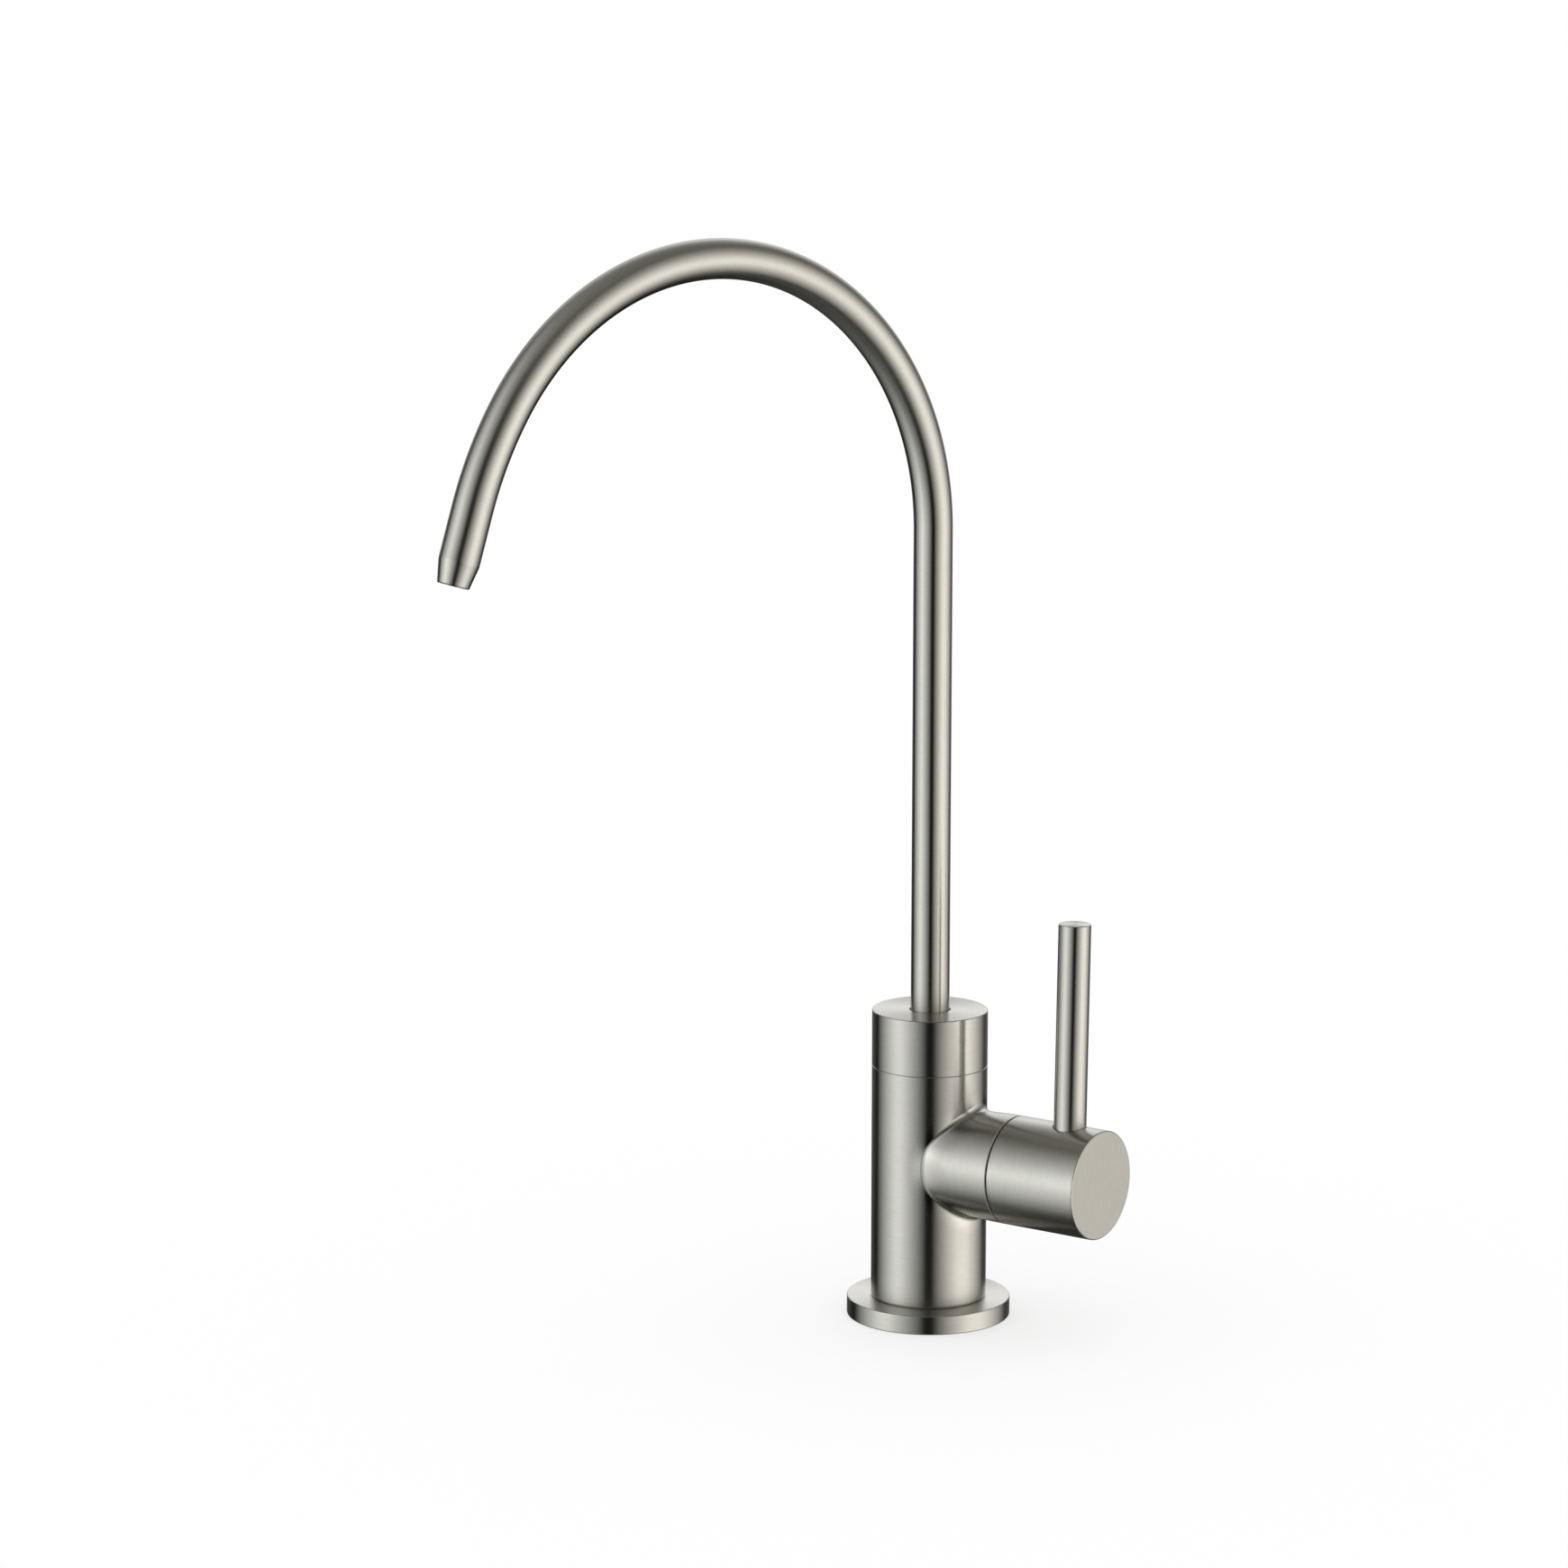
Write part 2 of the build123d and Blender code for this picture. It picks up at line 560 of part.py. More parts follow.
def threaded_shank():
    """Hollow shank that holds the faucet to the worktop and brings the water in."""
    shank = disc(SHANK_DIAMETER, -SHANK_DROP, SHANK_TOP)
    shank = chamfer(rim(shank, -SHANK_DROP), SHANK_EDGE)
    relief_bottom = -SHANK_DROP + SHANK_EDGE + SUPPLY_THREAD
    relief_diameter = SHANK_DIAMETER - 2 * THREAD_RELIEF_DEPTH
    relief_top = relief_bottom + THREAD_RELIEF
    shank -= ring(OVERSIZE * SHANK_DIAMETER, relief_diameter, relief_bottom, relief_top)
    bore = SHANK_DIAMETER + 2 * THREAD_GAP
    shank -= ring_groove(bore, SHANK_RING_WIRE, shank_ring_height())
    shank -= disc(INLET_BORE, -SHANK_DROP, SHANK_TOP)
    return shank


def shank_o_ring():
    """Rubber ring that seals the shank in the body."""
    return rubber_ring(SHANK_DIAMETER + 2 * THREAD_GAP, SHANK_RING_WIRE, shank_ring_height())


def deck_rubber_washer():
    """Rubber washer under the worktop."""
    hole = SHANK_DIAMETER + 2 * WASHER_GAP
    return ring(RUBBER_WASHER_DIAMETER, hole, STEEL_WASHER_TOP, RUBBER_WASHER_TOP)


def deck_steel_washer():
    """Steel washer between the rubber one and the nut."""
    hole = SHANK_DIAMETER + 2 * WASHER_GAP
    return ring(STEEL_WASHER_DIAMETER, hole, LOCK_NUT_TOP, STEEL_WASHER_TOP)


def lock_nut():
    """Hexagon nut with its corners turned off at both faces."""
    bottom = LOCK_NUT_TOP - LOCK_NUT_THICKNESS
    corner = LOCK_NUT_HEXAGON * CORNER_RATIO
    turned = disc(corner, bottom, LOCK_NUT_TOP)
    turned = chamfer([rim(turned, bottom), rim(turned, LOCK_NUT_TOP)], (corner - LOCK_NUT_HEXAGON) / 2)
    nut = bar(hexagon(LOCK_NUT_HEXAGON), bottom, LOCK_NUT_TOP) & turned
    nut -= disc(SHANK_DIAMETER + 2 * THREAD_GAP, bottom, LOCK_NUT_TOP)
    return nut


PIECES = [
    base_flange,
    base_gasket,
    valve_body,
    spout_cap,
    spout_thrust_ring,
    spout_stem,
    spout_o_rings,
    spout_tube,
    cartridge_body,
    cartridge_o_ring,
    seat_seal,
    fixed_disc,
    moving_disc,
    valve_spindle,
    spindle_o_rings,
    spindle_slip_washer,
    stop_ring,
    spindle_circlip,
    handle_hub,
    lever_rod,
    hub_set_screw,
    threaded_shank,
    shank_o_ring,
    deck_rubber_washer,
    deck_steel_washer,
    lock_nut,
]

os.makedirs("parts", exist_ok=True)
for make_piece in PIECES:
    name = make_piece.__name__
    made = make_piece()
    group = made if isinstance(made, list) else [made]
    solids = [solid for piece in group for solid in piece.solids()]
    piece = solids[0] if len(solids) == 1 else Compound(children=solids)
    piece.label = name
    export_step(piece, f"parts/{name}.step")
    print(name, len(solids), "solid(s)", round(sum(solid.volume for solid in solids), 1), "mm3")
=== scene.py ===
from math import pi, radians

import bmesh
import bpy
import numpy as np
from mathutils import Matrix


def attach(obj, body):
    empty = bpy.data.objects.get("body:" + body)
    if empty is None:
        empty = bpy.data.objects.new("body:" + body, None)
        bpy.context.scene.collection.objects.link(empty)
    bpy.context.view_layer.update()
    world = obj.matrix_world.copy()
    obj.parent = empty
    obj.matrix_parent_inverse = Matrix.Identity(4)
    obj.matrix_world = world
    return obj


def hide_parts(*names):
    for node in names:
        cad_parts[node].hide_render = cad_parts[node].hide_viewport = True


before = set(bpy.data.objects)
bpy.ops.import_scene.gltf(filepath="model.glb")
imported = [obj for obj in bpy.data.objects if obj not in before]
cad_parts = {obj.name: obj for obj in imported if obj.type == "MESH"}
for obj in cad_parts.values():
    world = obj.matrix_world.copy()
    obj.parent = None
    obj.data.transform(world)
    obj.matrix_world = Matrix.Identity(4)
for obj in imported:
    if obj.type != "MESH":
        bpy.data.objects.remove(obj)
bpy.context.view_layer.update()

# Camera. It stands far off to the front right and looks slightly down, with a long lens,
# so that the faucet shows with little perspective.
VIEW_AZIMUTH = radians(35.508)
VIEW_ELEVATION = radians(10.866)
VIEW_ROLL = radians(0.074)
CAMERA_PLACE = (0.8860, -1.3200, 0.4737)
SENSOR_WIDTH = 36.0
FRAME_PIXELS = 1740
LENS_PIXELS = 5830.4

camera_data = bpy.data.cameras.new("long_lens")
camera_data.sensor_width = SENSOR_WIDTH
camera_data.lens = LENS_PIXELS * SENSOR_WIDTH / FRAME_PIXELS
camera = bpy.data.objects.new("camera", camera_data)
camera.matrix_world = (
    Matrix.Translation(CAMERA_PLACE)
    @ Matrix.Rotation(VIEW_AZIMUTH, 4, "Z")
    @ Matrix.Rotation(pi / 2 - VIEW_ELEVATION, 4, "X")
    @ Matrix.Rotation(VIEW_ROLL, 4, "Z")
)
bpy.context.collection.objects.link(camera)
bpy.context.scene.camera = camera
bpy.context.scene.view_settings.view_transform = "Standard"


def linear(code):
    """Turn an sRGB hex colour such as #C0C0C0 into linear red, green, blue and alpha."""
    channels = [int(code[place : place + 2], 16) / 255 for place in (1, 3, 5)]
    bright = [((value + 0.055) / 1.055) ** 2.4 if value > 0.04045 else value / 12.92 for value in channels]
    return bright + [1.0]


def add_node(tree, kind, settings, sockets):
    """Add a node. Settings are its own fields. Each socket gets a value, or a link from another node."""
    node = tree.nodes.new(kind)
    for field, value in settings.items():
        setattr(node, field, value)
    for socket, value in sockets.items():
        if isinstance(value, bpy.types.NodeSocket):
            tree.links.new(value, node.inputs[socket])
        else:
            node.inputs[socket].default_value = value
    return node


def bare_material(name):
    """Make a material with no nodes yet, and give it and its node tree."""
    material = bpy.data.materials.new(name)
    material.use_nodes = True
    material.node_tree.nodes.clear()
    return material, material.node_tree


# Studio light. Two large soft boxes stand left and right of the camera, with a dark gap between
# them, black flags stand behind them, and a white background lies behind the faucet. Metal
# shows them by reflection. Everything else gets one plain white light from all around.
WHITE = "#FFFFFF"
# Each fade runs from the angle where a box ends to the angle where it is fully bright. Azimuths
# count from the box's middle, and the middle from the camera, with right positive.
SOFT_BOXES = {
    "left_box": dict(
        middle=-68,
        fades=[("azimuth", -59, -4), ("azimuth", 61, 7), ("elevation", -59, -2), ("elevation", 63, 7)],
        strength=1.59,
        colour="#FEFFFC",
    ),
    "right_box": dict(
        middle=70,
        fades=[("azimuth", -65, -10), ("azimuth", 66, 8), ("elevation", -68, -16), ("elevation", 57, -3)],
        strength=1.64,
        colour="#FFFAF3",
    ),
    "background": dict(
        middle=180,
        fades=[("azimuth", -53, -6), ("azimuth", 50, -10), ("elevation", -16, 22), ("elevation", 54, 27)],
        strength=1.64,
        colour="#FFFDFD",
    ),
    "ceiling": dict(middle=0, fades=[("elevation", 34, 56)], strength=0.165, colour="#FFFBEA"),
    "table": dict(middle=0, fades=[("elevation", -9, -58)], strength=0.03, colour="#FFFFF3"),
}

world = bpy.data.worlds.new("studio")
bpy.context.scene.world = world
world.use_nodes = True
sky = world.node_tree
sky.nodes.clear()
direction = add_node(sky, "ShaderNodeTexCoord", {}, {}).outputs["Generated"]
parts = add_node(sky, "ShaderNodeSeparateXYZ", {}, {0: direction})
front = add_node(sky, "ShaderNodeMath", dict(operation="MULTIPLY"), {0: parts.outputs["Y"], 1: -1.0})
sky_azimuth = add_node(
    sky, "ShaderNodeMath", dict(operation="ARCTAN2"), {0: parts.outputs["X"], 1: front.outputs[0]}
)
sky_elevation = add_node(sky, "ShaderNodeMath", dict(operation="ARCSINE"), {0: parts.outputs["Z"]})
glow = (0.0, 0.0, 0.0)
for box in SOFT_BOXES.values():
    middle = VIEW_AZIMUTH + radians(box["middle"])
    offset = add_node(
        sky, "ShaderNodeMath", dict(operation="SUBTRACT"), {0: sky_azimuth.outputs[0], 1: middle}
    )
    turn = add_node(sky, "ShaderNodeMath", dict(operation="WRAP"), {0: offset.outputs[0], 1: pi, 2: -pi})
    angles = dict(azimuth=turn.outputs[0], elevation=sky_elevation.outputs[0])
    share = box["strength"]
    for way, dark, bright in box["fades"]:
        fade = add_node(
            sky,
            "ShaderNodeMapRange",
            {},
            {"Value": angles[way], "From Min": radians(dark), "From Max": radians(bright)},
        )
        level = add_node(sky, "ShaderNodeMath", dict(operation="MULTIPLY"), {0: fade.outputs[0], 1: share})
        share = level.outputs[0]
    colour = linear(box["colour"])[:3]
    lit = add_node(sky, "ShaderNodeVectorMath", dict(operation="SCALE"), {0: colour, "Scale": share})
    total = add_node(sky, "ShaderNodeVectorMath", dict(operation="ADD"), {0: glow, 1: lit.outputs[0]})
    glow = total.outputs[0]
ray = add_node(sky, "ShaderNodeLightPath", {}, {})
seen = add_node(
    sky,
    "ShaderNodeMix",
    dict(data_type="RGBA"),
    {"Factor": ray.outputs["Is Glossy Ray"], 6: linear(WHITE), 7: glow},
)
backdrop = add_node(sky, "ShaderNodeBackground", {}, {"Color": seen.outputs[2]})
add_node(sky, "ShaderNodeOutputWorld", {}, {"Surface": backdrop.outputs[0]})
world.cycles.sampling_method = "NONE"

# Floor. A matt white board at the foot's underside, which stands in for the worktop. It is
# clear from below, so that the shank and nut under the worktop can be seen, and metal mirrors
# the studio in its place. A share of it glows for the camera, which keeps its shadow faint.
FLOOR_HALF = 6.0
FLOOR_DROP = 0.0001
FLOOR_GLOW = 0.6

board, nodes = bare_material("matt_white_board")
paint = add_node(nodes, "ShaderNodeBsdfDiffuse", {}, {"Color": linear(WHITE)})
lit = add_node(nodes, "ShaderNodeEmission", {}, {"Color": linear(WHITE)})
ray = add_node(nodes, "ShaderNodeLightPath", {}, {})
share = add_node(
    nodes, "ShaderNodeMath", dict(operation="MULTIPLY"), {0: ray.outputs["Is Camera Ray"], 1: FLOOR_GLOW}
)
top = add_node(
    nodes, "ShaderNodeMixShader", {}, {0: share.outputs[0], 1: paint.outputs[0], 2: lit.outputs[0]}
)
clear = add_node(nodes, "ShaderNodeBsdfTransparent", {}, {})
side = add_node(nodes, "ShaderNodeNewGeometry", {}, {})
seen = add_node(
    nodes,
    "ShaderNodeMixShader",
    {},
    {0: side.outputs["Backfacing"], 1: top.outputs[0], 2: clear.outputs[0]},
)
add_node(nodes, "ShaderNodeOutputMaterial", {}, {"Surface": seen.outputs[0]})

signs = [(-1, -1), (1, -1), (1, 1), (-1, 1)]
corners = [(FLOOR_HALF * x, FLOOR_HALF * y, -FLOOR_DROP) for x, y in signs]
floor_mesh = bpy.data.meshes.new("floor")
floor_mesh.from_pydata(corners, [], [(0, 1, 2, 3)])
floor_mesh.materials.append(board)
floor = bpy.data.objects.new("floor", floor_mesh)
bpy.context.collection.objects.link(floor)
floor.visible_glossy = False

# Foot. A round flange turned from 304 stainless bar, with a groove for a gasket below and a
# recess for the body's spigot above. Its rim and top are brushed around with a fine belt,
# as all of the faucet's outside is.
MM = 0.001
FOOT_RADIUS = 25.5
FOOT_THICKNESS = 6.0
FOOT_EDGE = 0.4
FOOT_FLOOR = 2.2
SPIGOT_RADIUS = 12.0
SPIGOT_PLAY = 0.1
SHANK_RADIUS = 5.555
SHANK_PLAY = 0.4
SHANK_HOLE = SHANK_RADIUS + SHANK_PLAY
GASKET_OUTER = 21.0
GASKET_INNER = 17.4
GASKET_THICKNESS = 1.5
GASKET_PLAY = 0.2
FOOT_MID_WALL = 1.0
ROUND_SIDES = 256
SMOOTH_ANGLE = radians(40)
WELD = 1e-6

# Satin 304 stainless: a slightly warm grey mirror, whose fine grooves spread a reflection wide
# across them and little along them, which takes a quarter turn of the shader's stretch. Its
# roughness drifts a little, in clouds, and is lower where the body's joint is polished.
STEEL_COLOUR = "#D5D5D0"
STEEL_SHADE = "#C0BFB9"
STEEL_ROUGHNESS = 0.28
STEEL_UNEVEN = 0.008
STEEL_CLOUDS_PER_METRE = 45.0
STEEL_POLISHED = 0.15
STEEL_STRETCH = 0.98
QUARTER_TURN = 0.25
# Belt grooves are about 0.05 mm apart. They are drawn 0.3 mm apart, which still shows.
GROOVE_SPACING = 0.30 * MM
GROOVE_LENGTH = 4.0 * MM
GROOVE_DEPTH = 0.0006 * MM
GROOVE_WRAP = 18.0 * MM
# Nearly all values of a noise pattern lie in this range
NOISE_RANGE = {"From Min": 0.3, "From Max": 0.7}


def rounded(corners, steps=4):
    """Closed or open outline through (across, along, rounding) corners. A rounded corner becomes
    an arc that touches both its sides: its centre lies on the corner's bisector, and its points
    turn evenly from one touching point to the other. Its two ends aren't rounded, so a closed
    outline starts at a sharp corner or in the middle of a wall."""
    spots = np.array([corner[:2] for corner in corners], float)
    outline = [spots[:1]]
    for place in range(1, len(corners) - 1):
        corner, radius = spots[place], corners[place][2]
        if radius == 0:
            outline.append(corner[None])
            continue
        back = spots[place - 1] - corner
        ahead = spots[place + 1] - corner
        back = back / np.linalg.norm(back)
        ahead = ahead / np.linalg.norm(ahead)
        half = np.arccos(np.clip(back @ ahead, -1, 1)) / 2
        bisector = (back + ahead) / np.linalg.norm(back + ahead)
        centre = corner + bisector * radius / np.sin(half)
        first = corner + back * radius / np.tan(half) - centre
        last = corner + ahead * radius / np.tan(half) - centre
        turn = pi - 2 * half
        share = np.linspace(0, 1, steps + 1)[:, None]
        arc = (np.sin((1 - share) * turn) * first + np.sin(share * turn) * last) / np.sin(turn)
        outline.append(centre + arc)
    outline.append(spots[-1:])
    return np.concatenate(outline)


def turned(outline, origin=(0, 0, 0), along=(0, 0, 1), side=(1, 0, 0), angles=None):
    """Turn an outline of (radius, distance) about an axis. Each point is the origin plus the
    distance along the axis plus the radius in the direction that its angle gives. Radius and
    distance may also vary with the angle. The map runs around in turns and along in metres."""
    if angles is None:
        angles = np.linspace(0, 2 * pi, ROUND_SIDES + 1)
    along, side = np.array(along, float), np.array(side, float)
    across = np.cross(along, side)
    spokes = np.cos(angles)[:, None] * side + np.sin(angles)[:, None] * across
    radius, distance = outline[..., 0], outline[..., 1]
    if outline.ndim == 2:
        radius, distance = radius[:, None], distance[:, None]
    points = np.array(origin) + distance[..., None] * along + radius[..., None] * spokes
    steps = np.hypot(np.diff(radius[:, 0]), np.diff(distance[:, 0]))
    run = np.concatenate([[0], np.cumsum(steps)]) + distance[0, 0]
    around = np.broadcast_to(angles / (2 * pi), points.shape[:2])
    lengthwise = np.broadcast_to(run[:, None] * MM, points.shape[:2])
    return points, np.stack([around, lengthwise], axis=-1)


def skin(name, grids, material):
    """Weld grids of points, in millimetres, into one closed mesh. Each four neighbouring points
    make a face. Doubles along seams and poles are merged, faces turned outwards, and normals
    weighted by area, so that flats stay flat beside their rounded edges. A grid may carry a third
    array, from 0 where it is brushed to 1 where it is polished."""
    points, maps, shine, faces, start = [], [], [], [], 0
    for place, chart, *polish in grids:
        rows, columns = place.shape[:2]
        number = start + np.arange(rows * columns).reshape(rows, columns)
        quads = np.stack([number[:-1, :-1], number[:-1, 1:], number[1:, 1:], number[1:, :-1]], axis=-1)
        points.append(place.reshape(-1, 3) * MM)
        maps.append(chart.reshape(-1, 2))
        shine.append(polish[0].ravel() if polish else np.zeros(rows * columns))
        faces.append(quads.reshape(-1, 4))
        start += rows * columns
    points, maps, faces = np.concatenate(points), np.concatenate(maps), np.concatenate(faces)
    shine = np.concatenate(shine).astype(np.float32)
    mesh = bpy.data.meshes.new(name)
    mesh.vertices.add(len(points))
    mesh.vertices.foreach_set("co", points.ravel())
    mesh.loops.add(faces.size)
    mesh.loops.foreach_set("vertex_index", faces.ravel())
    mesh.polygons.add(len(faces))
    mesh.polygons.foreach_set("loop_start", np.arange(0, faces.size, 4))
    mesh.update(calc_edges=True)
    layer = mesh.uv_layers.new(name="grooves")
    layer.uv.foreach_set("vector", maps[faces.ravel()].ravel().astype(np.float32))
    if shine.any():
        mesh.attributes.new("polish", "FLOAT", "POINT").data.foreach_set("value", shine)
    welded = bmesh.new()
    welded.from_mesh(mesh)
    bmesh.ops.remove_doubles(welded, verts=welded.verts, dist=WELD)
    bmesh.ops.recalc_face_normals(welded, faces=welded.faces)
    welded.to_mesh(mesh)
    welded.free()
    mesh.shade_smooth()
    mesh.set_sharp_from_angle(angle=SMOOTH_ANGLE)
    mesh.materials.append(material)
    piece = bpy.data.objects.new(name, mesh)
    bpy.context.collection.objects.link(piece)
    even = piece.modifiers.new("even_normals", "WEIGHTED_NORMAL")
    even.keep_sharp = True
    return piece


brushed_steel, nodes = bare_material("satin_304_stainless")
chart = add_node(nodes, "ShaderNodeUVMap", dict(uv_map="grooves"), {})
chart_parts = add_node(nodes, "ShaderNodeSeparateXYZ", {}, {0: chart.outputs[0]})
turn = add_node(
    nodes, "ShaderNodeMath", dict(operation="MULTIPLY"), {0: chart_parts.outputs["X"], 1: 2 * pi}
)
round_x = add_node(nodes, "ShaderNodeMath", dict(operation="COSINE"), {0: turn.outputs[0]})
round_y = add_node(nodes, "ShaderNodeMath", dict(operation="SINE"), {0: turn.outputs[0]})
around = add_node(
    nodes,
    "ShaderNodeCombineXYZ",
    {},
    {0: round_x.outputs[0], 1: round_y.outputs[0], 2: chart_parts.outputs["Y"]},
)
groove_scale = (GROOVE_WRAP / GROOVE_LENGTH, GROOVE_WRAP / GROOVE_LENGTH, 1 / GROOVE_SPACING)
fine = add_node(
    nodes, "ShaderNodeVectorMath", dict(operation="MULTIPLY"), {0: around.outputs[0], 1: groove_scale}
)
groove = add_node(
    nodes,
    "ShaderNodeTexNoise",
    {},
    {"Vector": fine.outputs[0], "Scale": 1.0, "Detail": 3.0, "Roughness": 0.65},
)
place = add_node(nodes, "ShaderNodeTexCoord", {}, {})
cloud = add_node(
    nodes,
    "ShaderNodeTexNoise",
    {},
    {"Vector": place.outputs["Object"], "Scale": STEEL_CLOUDS_PER_METRE, "Detail": 2.0},
)
tone = add_node(
    nodes,
    "ShaderNodeMix",
    dict(data_type="RGBA"),
    {"Factor": groove.outputs["Fac"], 6: linear(STEEL_COLOUR), 7: linear(STEEL_SHADE)},
)
brushed = add_node(
    nodes,
    "ShaderNodeMapRange",
    {},
    {
        "Value": cloud.outputs["Fac"],
        **NOISE_RANGE,
        "To Min": STEEL_ROUGHNESS - STEEL_UNEVEN,
        "To Max": STEEL_ROUGHNESS + STEEL_UNEVEN,
    },
)
polish = add_node(nodes, "ShaderNodeAttribute", dict(attribute_name="polish"), {})
gloss = add_node(
    nodes,
    "ShaderNodeMix",
    dict(data_type="FLOAT"),
    {0: polish.outputs["Fac"], 2: brushed.outputs[0], 3: STEEL_POLISHED},
)
relief = add_node(
    nodes, "ShaderNodeBump", {}, {"Distance": GROOVE_DEPTH, "Height": groove.outputs["Fac"]}
)
lay = add_node(nodes, "ShaderNodeTangent", dict(direction_type="UV_MAP", uv_map="grooves"), {})
metal = add_node(
    nodes,
    "ShaderNodeBsdfPrincipled",
    {},
    {
        "Base Color": tone.outputs[2],
        "Metallic": 1.0,
        "Roughness": gloss.outputs[0],
        "Anisotropic": STEEL_STRETCH,
        "Anisotropic Rotation": QUARTER_TURN,
        "Tangent": lay.outputs[0],
        "Normal": relief.outputs[0],
    },
)
add_node(nodes, "ShaderNodeOutputMaterial", {}, {"Surface": metal.outputs[0]})

foot_outline = rounded(
    [
        (SHANK_HOLE, FOOT_MID_WALL, 0),
        (SHANK_HOLE, 0, 0),
        (GASKET_INNER - GASKET_PLAY, 0, 0),
        (GASKET_INNER - GASKET_PLAY, GASKET_THICKNESS, 0),
        (GASKET_OUTER + GASKET_PLAY, GASKET_THICKNESS, 0),
        (GASKET_OUTER + GASKET_PLAY, 0, 0),
        (FOOT_RADIUS, 0, FOOT_EDGE),
        (FOOT_RADIUS, FOOT_THICKNESS, FOOT_EDGE),
        (SPIGOT_RADIUS + SPIGOT_PLAY, FOOT_THICKNESS, 0),
        (SPIGOT_RADIUS + SPIGOT_PLAY, FOOT_FLOOR, 0),
        (SHANK_HOLE, FOOT_FLOOR, 0),
        (SHANK_HOLE, FOOT_MID_WALL, 0),
    ]
)
foot = skin("foot", [turned(foot_outline)], brushed_steel)
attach(foot, "body")
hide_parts("base_flange")

# Gasket. A flat ring cut from black EPDM rubber sheet, pressed into the groove under the foot.
# Dull, with the fine pitted skin of moulded sheet.
GASKET_EDGE = 0.15
GASKET_MID_WALL = 0.7
RUBBER_COLOUR = "#1C1C1D"
RUBBER_BLOOM = "#29292A"
RUBBER_CLOUDS = 6.25 * MM
RUBBER_GRIT = 0.25 * MM
RUBBER_RELIEF = 0.02 * MM
RUBBER_SMOOTH = 0.6
RUBBER_ROUGH = 0.75

rubber, nodes = bare_material("black_epdm_rubber")
place = add_node(nodes, "ShaderNodeTexCoord", {}, {})
grit = add_node(
    nodes,
    "ShaderNodeTexNoise",
    {},
    {"Vector": place.outputs["Object"], "Scale": 1 / RUBBER_GRIT, "Detail": 2.0},
)
bloom = add_node(
    nodes,
    "ShaderNodeTexNoise",
    {},
    {"Vector": place.outputs["Object"], "Scale": 1 / RUBBER_CLOUDS, "Detail": 3.0},
)
tone = add_node(
    nodes,
    "ShaderNodeMix",
    dict(data_type="RGBA"),
    {"Factor": bloom.outputs["Fac"], 6: linear(RUBBER_COLOUR), 7: linear(RUBBER_BLOOM)},
)
relief = add_node(nodes, "ShaderNodeBump", {}, {"Distance": RUBBER_RELIEF, "Height": grit.outputs["Fac"]})
dull = add_node(
    nodes,
    "ShaderNodeMapRange",
    {},
    {"Value": bloom.outputs["Fac"], **NOISE_RANGE, "To Min": RUBBER_SMOOTH, "To Max": RUBBER_ROUGH},
)
body_shader = add_node(
    nodes,
    "ShaderNodeBsdfPrincipled",
    {},
    {"Base Color": tone.outputs[2], "Roughness": dull.outputs[0], "Normal": relief.outputs[0]},
)
add_node(nodes, "ShaderNodeOutputMaterial", {}, {"Surface": body_shader.outputs[0]})

gasket_outline = rounded(
    [
        (GASKET_INNER, GASKET_MID_WALL, 0),
        (GASKET_INNER, 0, GASKET_EDGE),
        (GASKET_OUTER, 0, GASKET_EDGE),
        (GASKET_OUTER, GASKET_THICKNESS, 0),
        (GASKET_INNER, GASKET_THICKNESS, 0),
        (GASKET_INNER, GASKET_MID_WALL, 0),
    ]
)
gasket = skin("gasket", [turned(gasket_outline)], rubber)
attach(gasket, "body")
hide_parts("base_gasket")

# Body. Column and side branch are one casting in 304 stainless, turned, and then blended and
# polished by hand along their joint. The neck on top carries the cap, and the spigot below sits
# in the foot, under the column's rounded bottom edge.
COLUMN_RADIUS = 18.0
COLUMN_TOP = 80.1
FOOT_ROUND = 0.8
FOOT_MARGIN = 1.2
BRANCH_RADIUS = 16.9
BRANCH_HEIGHT = 51.0
BRANCH_REACH = 31.8
# The joint's ball, and the hollow that the belt left around the branch's root. At the nose, front
# and back, where the two surfaces meet at a flat angle, the ball grows, the hollow deepens and
# the column stands proud. The joint is polished, but less so at the nose.
BLEND_RADIUS = 2.0
ROOT_HOLLOW = 0.3
HOLLOW_RUN = 9.0
POLISH_RUN = 4.0
NOSE_HALF = 7.6
NOSE_REACH = 3.5
NOSE_EXTRA = 2.5
NOSE_HOLLOW = 0.45
NOSE_SWELL = 0.35
NOSE_BRUSHED = 0.6
# Edges where two pieces meet flush, other edges, and those that lead another piece in or on,
# and the gap all around a screw in its hole
SEAM_EDGE = 0.2
EDGE_BREAK = 0.2
LEAD_IN = 0.3
SCREW_PLAY = 0.04
NECK_RADIUS = 14.96
NECK_TOP = 91.0
COLLAR_RECESS = 10.3
COLLAR_FLOOR = 88.0
SOCKET_RADIUS = 7.98
SOCKET_FLOOR = 70.0
SHANK_SOCKET = SHANK_RADIUS + SCREW_PLAY
SHANK_CEILING = 16.02
INLET_RADIUS = 3.25
INLET_TOP = 54.0
CHAMBER_RADIUS = 9.04
CHAMBER_FLOOR = 5.5
BLEND_SIDES = 384
BLEND_ROWS = 16
WALL_ROWS = 40
WALL_CROWDING = 1.6
BRANCH_ROWS = 32
BRANCH_CROWDING = 1.3


